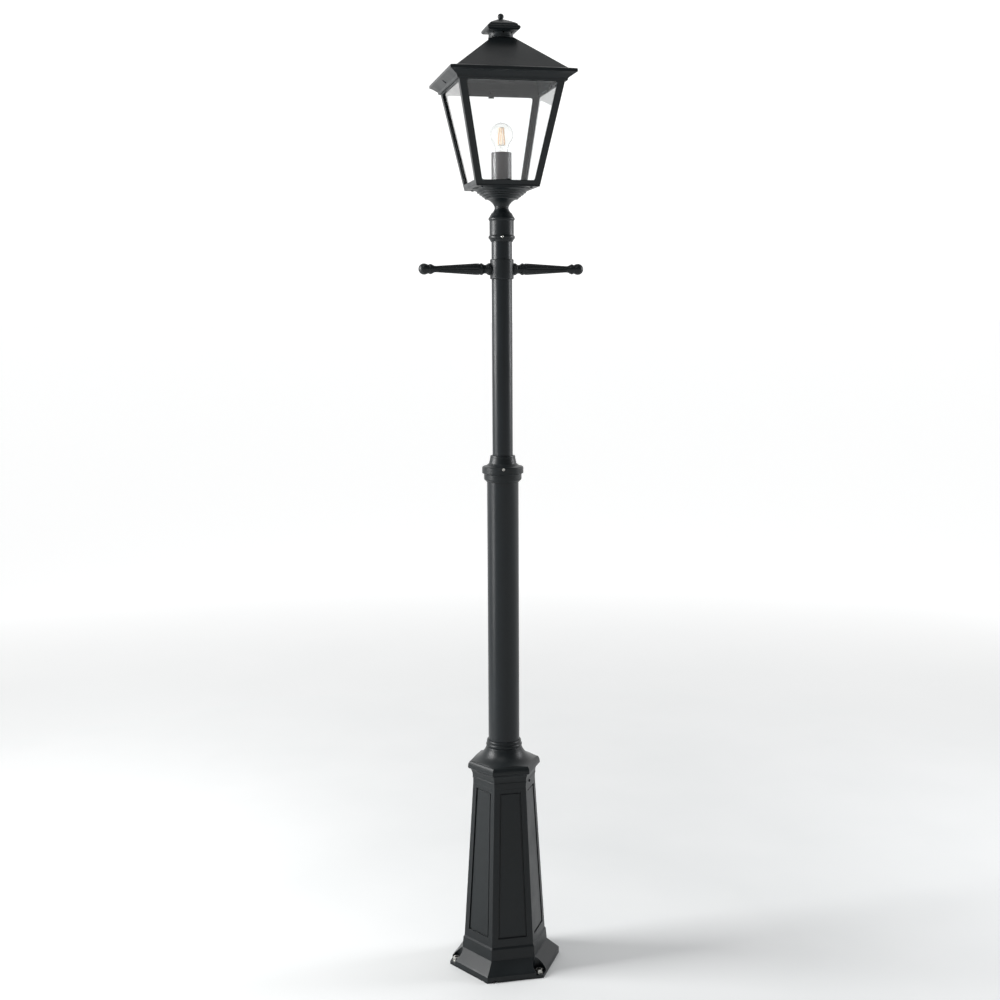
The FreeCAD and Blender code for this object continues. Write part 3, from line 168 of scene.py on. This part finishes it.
# Stamped brass strip is a warm yellow with darker blotches of tarnish
stampedBrass = bareMetal("stampedBrass", {
    "dark": "#a98244", "light": "#d8b570", "blotchMm": 8, "streakMm": 1.5, "stretch": 3,
    "streakDepthMm": 0.02, "edgeMm": 0.3, "roughness": (0.18, 0.36)})
# Nickel has a faint yellow cast beside zinc, and a smoother shine
nickelPlate = bareMetal("nickelPlate", {
    "dark": "#b2ac9f", "light": "#ded9ce", "blotchMm": 9, "streakMm": 1.0, "stretch": 6,
    "streakDepthMm": 0.02, "edgeMm": 0.3, "roughness": (0.12, 0.30)})
# Solder sets with a frosty grey skin
dullSolder = bareMetal("dullSolder", {
    "dark": "#858588", "light": "#b6b6b8", "blotchMm": 2, "streakMm": 1.0, "stretch": 1,
    "streakDepthMm": 0.02, "edgeMm": 0.3, "roughness": (0.37, 0.55)})
print("bare metals ready")


def clearGlass(name, look):
    # Clear soda-lime glass: lamps shine through it, and a thin film of dust dulls it in patches
    material, tree = newMaterial(name)
    place = addNode(tree, "ShaderNodeTexCoord").outputs["Object"]
    film = addNode(tree, "ShaderNodeTexNoise", {"Scale": metreMm / look["filmMm"], "Detail": 4.0},
                   {"Vector": place}).outputs["Fac"]
    ripple = addNode(tree, "ShaderNodeTexNoise", {"Scale": metreMm / look["rippleMm"], "Detail": 1.0},
                     {"Vector": place}).outputs["Fac"]
    clean, dusted = look["filmSpan"]
    haze = addNode(tree, "ShaderNodeMapRange", {
        "From Min": clean, "From Max": dusted, "To Max": look["haze"]}, {"Value": film}).outputs[0]
    drawn = addNode(tree, "ShaderNodeBump", {"Distance": look["rippleDepthMm"] * mm},
                    {"Height": ripple}).outputs[0]
    body = addNode(tree, "ShaderNodeBsdfPrincipled", {
        "Base Color": linearColour(look["tint"]), "IOR": look["ior"], "Transmission Weight": 1.0},
        {"Roughness": haze, "Normal": drawn})
    clear = addNode(tree, "ShaderNodeBsdfTransparent", {"Color": linearColour(look["tint"])})
    path = addNode(tree, "ShaderNodeLightPath")
    soft = addNode(tree, "ShaderNodeMath", links={
        0: path.outputs["Is Shadow Ray"], 1: path.outputs["Is Diffuse Ray"]}, operation="MAXIMUM")
    shader = addNode(tree, "ShaderNodeMixShader",
                     links={0: soft.outputs[0], 1: body.outputs[0], 2: clear.outputs[0]})
    addNode(tree, "ShaderNodeOutputMaterial", links={"Surface": shader.outputs[0]})
    return material


# Float glass is flat and almost without colour
floatGlass = clearGlass("clearFloatGlass", {
    "tint": "#fdfefe", "filmMm": 55, "filmSpan": (0.45, 0.8), "haze": 0.02,
    "rippleMm": 160, "rippleDepthMm": 0.02, "ior": 1.5})
# The bulb's blown wall is thin, so its IOR is lowered to keep its outline faint
blownGlass = clearGlass("clearBlownGlass", {
    "tint": "#fdfdfc", "filmMm": 20, "filmSpan": (0.45, 0.8), "haze": 0.02,
    "rippleMm": 18, "rippleDepthMm": 0.05, "ior": 1.3})
print("glass ready")


def mouldedPlastic(name, look):
    # Moulded or pressed, with the fine grain that a spark-eroded mould leaves
    material, tree = newMaterial(name)
    place = addNode(tree, "ShaderNodeTexCoord").outputs["Object"]
    tone = addNode(tree, "ShaderNodeTexNoise", {"Scale": metreMm / look["toneMm"], "Detail": 3.0},
                   {"Vector": place}).outputs["Fac"]
    grain = addNode(tree, "ShaderNodeTexNoise", {"Scale": metreMm / look["grainMm"], "Detail": 2.0},
                    {"Vector": place}).outputs["Fac"]
    colour = addNode(tree, "ShaderNodeMix", {
        6: linearColour(look["dark"]), 7: linearColour(look["light"])},
        {0: tone}, data_type="RGBA").outputs[2]
    glossiest, dullest = look["roughness"]
    shine = addNode(tree, "ShaderNodeMapRange", {**noiseSpan, "To Min": glossiest, "To Max": dullest},
                    {"Value": tone}).outputs[0]
    edge = addNode(tree, "ShaderNodeBevel", {"Radius": look["edgeMm"] * mm}, samples=4).outputs[0]
    pitted = addNode(tree, "ShaderNodeBump", {"Distance": look["grainDepthMm"] * mm},
                     {"Height": grain, "Normal": edge}).outputs[0]
    shader = addNode(tree, "ShaderNodeBsdfPrincipled", {"IOR": look["ior"]},
                     {"Base Color": colour, "Roughness": shine, "Normal": pitted})
    addNode(tree, "ShaderNodeOutputMaterial", links={"Surface": shader.outputs[0]})
    return material


# The grains are drawn at about 1 mm, several times too coarse, so that they show up close
sleevePlastic = mouldedPlastic("brownBlackSleevePlastic", {
    "dark": "#150f11", "light": "#20181a", "toneMm": 30, "grainMm": 1.2, "grainDepthMm": 0.03,
    "edgeMm": 0.5, "roughness": (0.37, 0.47), "ior": 1.5})
# Pressed thermoset is harder and glossier than the sleeve
blackThermoset = mouldedPlastic("blackThermoset", {
    "dark": "#121212", "light": "#1f1e1d", "toneMm": 12, "grainMm": 1.0, "grainDepthMm": 0.02,
    "edgeMm": 0.5, "roughness": (0.25, 0.35), "ior": 1.55})
# Rubber swallows the light: no clear highlight
sealRubber = mouldedPlastic("blackSealingRubber", {
    "dark": "#101112", "light": "#1b1c1d", "toneMm": 9, "grainMm": 1.0, "grainDepthMm": 0.04,
    "edgeMm": 0.5, "roughness": (0.55, 0.65), "ior": 1.52})
# Uncoloured polyamide is a milky off-white
naturalPolyamide = mouldedPlastic("naturalPolyamide", {
    "dark": "#c3bfb4", "light": "#dedbd1", "toneMm": 10, "grainMm": 0.8, "grainDepthMm": 0.02,
    "edgeMm": 0.5, "roughness": (0.40, 0.50), "ior": 1.53})
# Black glass poured under the bulb's cap: wet-looking and a little wavy
blackBulbGlass = mouldedPlastic("blackInsulatorGlass", {
    "dark": "#0b0b0e", "light": "#19191d", "toneMm": 4, "grainMm": 2.0, "grainDepthMm": 0.02,
    "edgeMm": 0.5, "roughness": (0.07, 0.17), "ior": 1.52})
# Silicone with phosphor powder in it: a soft peach, unlit
amberPhosphor = mouldedPlastic("amberPhosphorCoat", {
    "dark": "#edc6a2", "light": "#fbdfc2", "toneMm": 3, "grainMm": 0.9, "grainDepthMm": 0.03,
    "edgeMm": 0.5, "roughness": (0.45, 0.55), "ior": 1.46})
print("plastics ready")

# every CAD node gets the real finish of its material slot
finishes = {
    "cast_coat": castingCoat, "tube_coat": tubeCoat, "zinc_steel": zincPlate,
    "black_zinc": blackZinc, "washer_rubber": sealRubber, "clear_glass": floatGlass,
    "sleeve_plastic": sleevePlastic, "holder_plastic": blackThermoset, "brass": stampedBrass,
    "terminal_plastic": naturalPolyamide, "bulb_glass": blownGlass, "cap_nickel": nickelPlate,
    "black_glass": blackBulbGlass, "solder": dullSolder, "filament_coat": amberPhosphor,
}
for subpart in frame["record"]["subparts"]:
    for slot in nodes[subpart["node"]].material_slots:
        slot.material = finishes[subpart["material_slot"]]
print("CAD nodes finished")


def newTree(name, sizes):
    # a tree with one named number input for each size
    tree = bpy.data.node_groups.new(name, "GeometryNodeTree")
    for way in ("INPUT", "OUTPUT"):
        tree.interface.new_socket("Geometry", in_out=way, socket_type="NodeSocketGeometry")
    for size in sizes:
        tree.interface.new_socket(size, in_out="INPUT", socket_type="NodeSocketFloat")
    return tree, addNode(tree, "NodeGroupInput").outputs


def endTree(tree, shape, finish):
    # real faces and a finish, as the export drops instances
    whole = addNode(tree, "GeometryNodeRealizeInstances", links={0: shape})
    coated = addNode(tree, "GeometryNodeSetMaterial", {"Material": finish}, {0: whole.outputs[0]})
    addNode(tree, "NodeGroupOutput", links={0: coated.outputs[0]})


def bakeTree(name, mesh, tree, sizes):
    # runs the tree on the mesh and keeps the result as a plain mesh
    source = bpy.data.objects.new(name + "Source", mesh)
    scene.collection.objects.link(source)
    modifier = source.modifiers.new("nodes", "NODES")
    modifier.node_group = tree
    for item in tree.interface.items_tree:
        if item.in_out == "INPUT" and item.name in sizes:
            modifier[item.identifier] = float(sizes[item.name])
    graph = bpy.context.evaluated_depsgraph_get()
    baked = bpy.data.meshes.new_from_object(source.evaluated_get(graph), depsgraph=graph)
    source.modifiers.remove(modifier)
    bpy.data.objects.remove(source)
    piece = bpy.data.objects.new(name, baked)
    scene.collection.objects.link(piece)
    print(name, len(baked.polygons), "faces")
    return piece


# Ladder bars: turned bars with long reeds on the spindle. A profile's points are the distance
# from the post's axis and the radius there.
ladderBar = {
    "studStartMm": 27.4, "studRadiusMm": 4.0, "rootMm": 32.4, "rootRadiusMm": 14.8,
    "waistStartMm": 34.4, "waistEndMm": 49.5, "waistRimMm": 14.2, "waistDipMm": 3.7, "waistSteps": 10,
    "beadMm": [(51.5, 14.7), (53.0, 14.0), (57.0, 12.9)],
    "spindleStartMm": 58.5, "spindleRadiusMm": 14.2, "spindleEndMm": 163.5, "spindleTipMm": 7.9,
    "plainShare": 0.06, "spindleSteps": 40,  # the spindle starts to taper after the plain share
    "ringMm": [(167.5, 8.3), (175.0, 12.2), (176.5, 12.5), (178.0, 12.5), (181.0, 10.8),
               (183.0, 10.8)],
    "ballMm": 13.6, "ballSteps": 14, "shoulderSteps": 8, "sides": 144,
    "reeds": 12, "reedDepthMm": 1.5, "reedFadeMm": 5.0,
}


def barProfile(look, tipMm):
    # from the stud in the collar to the ball's point
    points = [(look["studStartMm"], 0.0), (look["studStartMm"], look["studRadiusMm"]),
              (look["rootMm"], look["studRadiusMm"]), (look["rootMm"], look["rootRadiusMm"])]
    waistLength = look["waistEndMm"] - look["waistStartMm"]
    for step in range(look["waistSteps"] + 1):
        share = step / look["waistSteps"]
        dip = look["waistDipMm"] * math.sin(math.pi * share)
        points.append((look["waistStartMm"] + waistLength * share, look["waistRimMm"] - dip))
    points += look["beadMm"]
    spindleLength = look["spindleEndMm"] - look["spindleStartMm"]
    thinning = look["spindleTipMm"] - look["spindleRadiusMm"]
    for step in range(look["spindleSteps"] + 1):
        share = step / look["spindleSteps"]
        taper = max(0.0, share - look["plainShare"]) / (1 - look["plainShare"])
        points.append((look["spindleStartMm"] + spindleLength * share,
                       look["spindleRadiusMm"] + thinning * taper))
    points += look["ringMm"]
    ball = look["ballMm"]
    shoulderStart, shoulderRadius = look["ringMm"][-1]
    ballCentre = tipMm - ball
    for step in range(1, look["shoulderSteps"] + 1):
        share = step / look["shoulderSteps"]
        swell = (ball - shoulderRadius) * math.sin(math.pi / 2 * share)
        points.append((shoulderStart + (ballCentre - shoulderStart) * share, shoulderRadius + swell))
    for step in range(1, look["ballSteps"] + 1):
        turn = math.pi / 2 * step / look["ballSteps"]
        points.append((ballCentre + ball * math.sin(turn), ball * math.cos(turn)))
    return points


def latheAlongX(name, points, side, height, sides):
    # turns a profile about a level axis and closes both ends on that axis
    mesh = bpy.data.meshes.new(name)
    shape = bmesh.new()
    closedMm = 0.001  # a smaller radius is a point on the axis
    turns = [2 * math.pi * step / sides for step in range(sides)]
    rings = []
    for along, radius in points:
        spread = turns if radius > closedMm else [0.0]
        reach = radius * mm if radius > closedMm else 0.0
        rings.append([shape.verts.new((side * along * mm, reach * math.sin(turn),
                                       height + reach * math.cos(turn))) for turn in spread])
    for before, after in zip(rings, rings[1:]):
        for step in range(sides):
            corners = [before[step % len(before)], before[(step + 1) % len(before)],
                       after[(step + 1) % len(after)], after[step % len(after)]]
            shape.faces.new(list(dict.fromkeys(corners)))
    bmesh.ops.recalc_face_normals(shape, faces=shape.faces)
    for face in shape.faces:
        face.smooth = True
    shape.to_mesh(mesh)
    shape.free()
    return mesh


def reedTree(sizes):
    # sinks a groove between reeds, from Start to End along the bar, fading in and out over Fade
    tree, given = newTree("reeds", sizes)
    place = addNode(tree, "GeometryNodeInputPosition").outputs[0]
    parts = addNode(tree, "ShaderNodeSeparateXYZ", links={0: place}).outputs
    along = addNode(tree, "ShaderNodeMath", links={0: parts["X"]}, operation="ABSOLUTE").outputs[0]
    above = addNode(tree, "ShaderNodeMath", links={0: parts["Z"], 1: given["Height"]},
                    operation="SUBTRACT").outputs[0]
    turn = addNode(tree, "ShaderNodeMath", links={0: above, 1: parts["Y"]},
                   operation="ARCTAN2").outputs[0]
    halfReeds = addNode(tree, "ShaderNodeMath", {1: 0.5}, {0: given["Reeds"]},
                        operation="MULTIPLY").outputs[0]
    phase = addNode(tree, "ShaderNodeMath", links={0: turn, 1: halfReeds},
                    operation="MULTIPLY").outputs[0]
    wave = addNode(tree, "ShaderNodeMath", links={0: phase}, operation="SINE").outputs[0]
    crest = addNode(tree, "ShaderNodeMath", links={0: wave}, operation="ABSOLUTE").outputs[0]
    groove = addNode(tree, "ShaderNodeMath", {0: 1.0}, {1: crest}, operation="SUBTRACT").outputs[0]
    fullFrom = addNode(tree, "ShaderNodeMath", links={0: given["Start"], 1: given["Fade"]},
                       operation="ADD").outputs[0]
    fullTo = addNode(tree, "ShaderNodeMath", links={0: given["End"], 1: given["Fade"]},
                     operation="SUBTRACT").outputs[0]
    rising = addNode(tree, "ShaderNodeMapRange", links={
        "Value": along, "From Min": given["Start"], "From Max": fullFrom},
        interpolation_type="SMOOTHSTEP").outputs[0]
    falling = addNode(tree, "ShaderNodeMapRange", {"To Min": 1.0, "To Max": 0.0}, {
        "Value": along, "From Min": fullTo, "From Max": given["End"]},
        interpolation_type="SMOOTHSTEP").outputs[0]
    stretch = addNode(tree, "ShaderNodeMath", links={0: rising, 1: falling},
                      operation="MULTIPLY").outputs[0]
    cut = addNode(tree, "ShaderNodeMath", links={0: groove, 1: stretch},
                  operation="MULTIPLY").outputs[0]
    sunk = addNode(tree, "ShaderNodeMath", links={0: cut, 1: given["Depth"]},
                   operation="MULTIPLY").outputs[0]
    outward = addNode(tree, "ShaderNodeCombineXYZ", links={"Y": parts["Y"], "Z": above}).outputs[0]
    unit = addNode(tree, "ShaderNodeVectorMath", links={0: outward}, operation="NORMALIZE").outputs[0]
    inward = addNode(tree, "ShaderNodeVectorMath", {"Scale": -1.0}, {0: unit},
                     operation="SCALE").outputs[0]
    offset = addNode(tree, "ShaderNodeVectorMath", links={0: inward, "Scale": sunk},
                     operation="SCALE").outputs[0]
    moved = addNode(tree, "GeometryNodeSetPosition", links={
        "Geometry": given["Geometry"], "Offset": offset})
    endTree(tree, moved.outputs[0], castingCoat)
    return tree


for side, name, node in ((-1, "reededBarLeft", "ladder_bar_left"),
                         (1, "reededBarRight", "ladder_bar_right")):
    low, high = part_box(node)
    height = (low[2] + high[2]) / 2
    tipMm = max(abs(low[0]), abs(high[0])) / mm
    reedSizes = {"Height": height, "Reeds": ladderBar["reeds"], "Depth": ladderBar["reedDepthMm"] * mm,
                 "Start": ladderBar["spindleStartMm"] * mm, "End": ladderBar["spindleEndMm"] * mm,
                 "Fade": ladderBar["reedFadeMm"] * mm}
    blank = latheAlongX(name, barProfile(ladderBar, tipMm), side, height, ladderBar["sides"])
    bar = bakeTree(name, blank, reedTree(reedSizes), reedSizes)
    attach(bar, "ladder_rest")
    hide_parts(node)
print("ladder bars ready")


# Cross-head screws: each sits where the CAD node has one, its head pointing out or down.
# Head and Top are the head's radii at its seat and at its crown; Cross is the slots' length.
screwSets = [
    {"name": "roofCrossScrews", "node": "roof_screws", "body": "roof_lid",
     "bearings": [0, 180], "down": False,
     "sizesMm": {"Head": 4.1, "Top": 3.2, "HeadHeight": 3.6, "Shank": 2.5, "ShankLength": 7.8,
                 "Cross": 4.0, "CrossWidth": 0.9, "CrossDepth": 1.8}},
    {"name": "capCrossScrews", "node": "cap_screws", "body": "root",
     "bearings": [-30, 150], "down": False,
     "sizesMm": {"Head": 3.8, "Top": 2.8, "HeadHeight": 2.5, "Shank": 2.4, "ShankLength": 11.9,
                 "Cross": 3.6, "CrossWidth": 0.8, "CrossDepth": 1.6}},
    {"name": "trayCrossScrews", "node": "tray_screws", "body": "lantern_head",
     "bearings": [45, 135, 225, 315], "down": True,
     "sizesMm": {"Head": 3.8, "Top": 2.6, "HeadHeight": 2.3, "Shank": 2.0, "ShankLength": 9.9,
                 "Cross": 3.4, "CrossWidth": 0.8, "CrossDepth": 1.5}},
]


def screwPlaces(look):
    # one point at the outer end of each screw, with the way its head points
    corners = [vertex.co for vertex in nodes[look["node"]].data.vertices]
    outwards = [Vector((math.cos(math.radians(bearing)), math.sin(math.radians(bearing)), 0))
                for bearing in look["bearings"]]
    places, pointings = [], []
    for outward in outwards:
        others = [other for other in outwards if other is not outward]
        own = [corner for corner in corners
               if all(corner.dot(outward) > corner.dot(other) for other in others)]
        pointing = Vector((0, 0, -1)) if look["down"] else outward
        low = [min(corner[axis] for corner in own) for axis in range(3)]
        high = [max(corner[axis] for corner in own) for axis in range(3)]
        middle = Vector([(near + far) / 2 for near, far in zip(low, high)])
        end = max(corner.dot(pointing) for corner in own)
        places.append(middle + pointing * (end - middle.dot(pointing)))
        pointings.append(pointing)
    mesh = bpy.data.meshes.new(look["name"] + "Places")
    mesh.from_pydata(places, [], [])
    mesh.attributes.new("pointing", "FLOAT_VECTOR", "POINT")
    for item, pointing in zip(mesh.attributes["pointing"].data, pointings):
        item.vector = pointing
    return mesh


def screwTree(sizes):
    # a pan head with a cross cut into it, on a plain shank, set at every point
    tree, given = newTree("crossHeadScrew", sizes)
    lowered = addNode(tree, "ShaderNodeMath", {1: -1.0}, {0: given["HeadHeight"]},
                      operation="MULTIPLY").outputs[0]
    headDrop = addNode(tree, "ShaderNodeCombineXYZ", links={"Z": lowered}).outputs[0]
    cone = addNode(tree, "GeometryNodeMeshCone", {"Vertices": 32}, {
        "Radius Bottom": given["Head"], "Radius Top": given["Top"], "Depth": given["HeadHeight"]})
    head = addNode(tree, "GeometryNodeTransform", links={
        "Geometry": cone.outputs[0], "Translation": headDrop})
    recessed = addNode(tree, "GeometryNodeMeshBoolean", links={"Mesh 1": head.outputs[0]},
                       operation="DIFFERENCE")
    throughTop = addNode(tree, "ShaderNodeMath", {1: 2.0}, {0: given["CrossDepth"]},
                         operation="MULTIPLY").outputs[0]
    for longWay, shortWay in (("X", "Y"), ("Y", "X")):
        size = addNode(tree, "ShaderNodeCombineXYZ", links={
            longWay: given["Cross"], shortWay: given["CrossWidth"], "Z": throughTop}).outputs[0]
        slotCutter = addNode(tree, "GeometryNodeMeshCube", links={"Size": size})
        tree.links.new(slotCutter.outputs[0], recessed.inputs["Mesh 2"])
    halfShank = addNode(tree, "ShaderNodeMath", {1: -0.5}, {0: given["ShankLength"]},
                        operation="MULTIPLY").outputs[0]
    below = addNode(tree, "ShaderNodeMath", links={0: halfShank, 1: lowered},
                    operation="ADD").outputs[0]
    shankDrop = addNode(tree, "ShaderNodeCombineXYZ", links={"Z": below}).outputs[0]
    rod = addNode(tree, "GeometryNodeMeshCylinder", {"Vertices": 24}, {
        "Radius": given["Shank"], "Depth": given["ShankLength"]})
    shank = addNode(tree, "GeometryNodeTransform", links={
        "Geometry": rod.outputs[0], "Translation": shankDrop})
    screw = addNode(tree, "GeometryNodeJoinGeometry", links={0: recessed.outputs[0]})
    tree.links.new(shank.outputs[0], screw.inputs[0])
    pointing = addNode(tree, "GeometryNodeInputNamedAttribute", {"Name": "pointing"},
                       data_type="FLOAT_VECTOR")
    turn = addNode(tree, "FunctionNodeAlignRotationToVector",
                   links={"Vector": pointing.outputs[0]}, axis="Z")
    placed = addNode(tree, "GeometryNodeInstanceOnPoints", links={
        "Points": given["Geometry"], "Instance": screw.outputs[0], "Rotation": turn.outputs[0]})
    endTree(tree, placed.outputs[0], blackZinc)
    return tree


for look in screwSets:
    screwSizes = {size: value * mm for size, value in look["sizesMm"].items()}
    screws = bakeTree(look["name"], screwPlaces(look), screwTree(screwSizes), screwSizes)
    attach(screws, look["body"])
    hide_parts(look["node"])
print("screws ready")


cameraView = {
    "place": Vector((-0.7142, -3.2661, 1.6736)), "aim": Vector((0.2115, 0.9774, 0)),
    "pitch": -0.1365, "roll": -0.0049, "lens": 48.5, "sensor": 36,
}
# bearings are degrees from the camera's side of the post, counterclockwise seen from above
softboxes = [
    {"name": "leftSoftbox", "bearing": -85, "distance": 2.6, "height": 2.25, "aimHeight": 1.7,
     "size": (1.1, 1.7), "power": 120, "colour": "#ffffff"},
    {"name": "leftLowSoftbox", "bearing": -75, "distance": 2.4, "height": 0.7, "aimHeight": 0.4,
     "size": (0.5, 0.7), "power": 11, "colour": "#ffffff"},
    {"name": "rightSoftbox", "bearing": 102, "distance": 2.8, "height": 2.1, "aimHeight": 1.7,
     "size": (0.8, 1.6), "power": 40, "colour": "#fbfcff"},
    {"name": "topSoftbox", "bearing": -25, "distance": 1.8, "height": 4.4, "aimHeight": 2.1,
     "size": (1.6, 1.6), "power": 16, "colour": "#ffffff"},
]
# the floor glows from glowStart metres outwards, so that it stays pale to the horizon
studioFloor = {"width": 600, "dark": "#d6d8d8", "light": "#dfe0e0", "toneMm": 400,
               "roughness": (0.7, 0.85), "glowColour": "#ffffff", "glowStart": 0.8, "glowEnd": 5.0,
               "nearGlow": 0.0, "farGlow": 0.62}
# the walls are dim up to sideOn and brightest from fullyFar, where 1 is straight behind the post
studioRoom = {"walls": "#ffffff", "cameraSide": 0.2, "farSide": 1.2,
              "sideOn": 0.0, "fullyFar": 0.85}


def addSoftbox(look):
    heading = math.atan2(-cameraView["aim"].y, -cameraView["aim"].x) + math.radians(look["bearing"])
    place = Vector((math.cos(heading) * look["distance"], math.sin(heading) * look["distance"],
                    look["height"]))
    data = bpy.data.lights.new(look["name"], "AREA")
    data.shape = "RECTANGLE"
    data.size, data.size_y = look["size"]
    data.energy = look["power"]
    data.color = linearColour(look["colour"])[:3]
    lamp = bpy.data.objects.new(look["name"], data)
    lamp.location = place
    target = Vector((0, 0, look["aimHeight"]))
    lamp.rotation_euler = (target - place).to_track_quat("-Z", "Y").to_euler()
    scene.collection.objects.link(lamp)


def addCamera(look):
    data = bpy.data.cameras.new("camera")
    data.lens = look["lens"]
    data.sensor_width = look["sensor"]
    camera = bpy.data.objects.new("camera", data)
    aim = look["aim"] * math.cos(look["pitch"]) + Vector((0, 0, math.sin(look["pitch"])))
    turn = aim.to_track_quat("-Z", "Y").to_matrix() @ Matrix.Rotation(look["roll"], 3, "Z")
    camera.matrix_world = Matrix.Translation(look["place"]) @ turn.to_4x4()
    scene.collection.objects.link(camera)
    scene.camera = camera


def addFloor(look):
    # matt painted studio floor, scuffed in broad soft patches
    half = look["width"] / 2
    mesh = bpy.data.meshes.new("studioFloor")
    corners = [(-half, -half, 0), (half, -half, 0), (half, half, 0), (-half, half, 0)]
    mesh.from_pydata(corners, [], [(0, 1, 2, 3)])
    material, tree = newMaterial("paintedStudioFloor")
    place = addNode(tree, "ShaderNodeTexCoord").outputs["Object"]
    tone = addNode(tree, "ShaderNodeTexNoise", {"Scale": metreMm / look["toneMm"], "Detail": 3.0},
                   {"Vector": place}).outputs["Fac"]
    colour = addNode(tree, "ShaderNodeMix", {
        6: linearColour(look["dark"]), 7: linearColour(look["light"])},
        {0: tone}, data_type="RGBA").outputs[2]
    glossiest, dullest = look["roughness"]
    shine = addNode(tree, "ShaderNodeMapRange", {"To Min": glossiest, "To Max": dullest},
                    {"Value": tone}).outputs[0]
    distance = addNode(tree, "ShaderNodeVectorMath", links={0: place},
                       operation="LENGTH").outputs["Value"]
    glow = addNode(tree, "ShaderNodeMapRange", {
        "From Min": look["glowStart"], "From Max": look["glowEnd"],
        "To Min": look["nearGlow"], "To Max": look["farGlow"]}, {"Value": distance}).outputs[0]
    shader = addNode(tree, "ShaderNodeBsdfPrincipled", {
        "Emission Color": linearColour(look["glowColour"])},
        {"Base Color": colour, "Roughness": shine, "Emission Strength": glow})
    addNode(tree, "ShaderNodeOutputMaterial", links={"Surface": shader.outputs[0]})
    mesh.materials.append(material)
    floor = bpy.data.objects.new("studioFloor", mesh)
    scene.collection.objects.link(floor)


def addRoom(look):
    # bright walls behind the post, dim ones behind the camera
    world = bpy.data.worlds.new("studio")
    world.use_nodes = True
    tree = world.node_tree
    tree.nodes.clear()
    direction = addNode(tree, "ShaderNodeTexCoord").outputs["Generated"]
    toFarSide = addNode(tree, "ShaderNodeVectorMath", {1: cameraView["aim"]}, {0: direction},
                        operation="DOT_PRODUCT").outputs["Value"]
    strength = addNode(tree, "ShaderNodeMapRange", {
        "From Min": look["sideOn"], "From Max": look["fullyFar"],
        "To Min": look["cameraSide"], "To Max": look["farSide"]}, {"Value": toFarSide}).outputs[0]
    walls = addNode(tree, "ShaderNodeBackground", {"Color": linearColour(look["walls"])},
                    {"Strength": strength})
    addNode(tree, "ShaderNodeOutputWorld", links={"Surface": walls.outputs[0]})
    scene.world = world


addFloor(studioFloor)
addRoom(studioRoom)
for look in softboxes:
    addSoftbox(look)
addCamera(cameraView)
scene.view_settings.view_transform = "Standard"
print("studio ready")
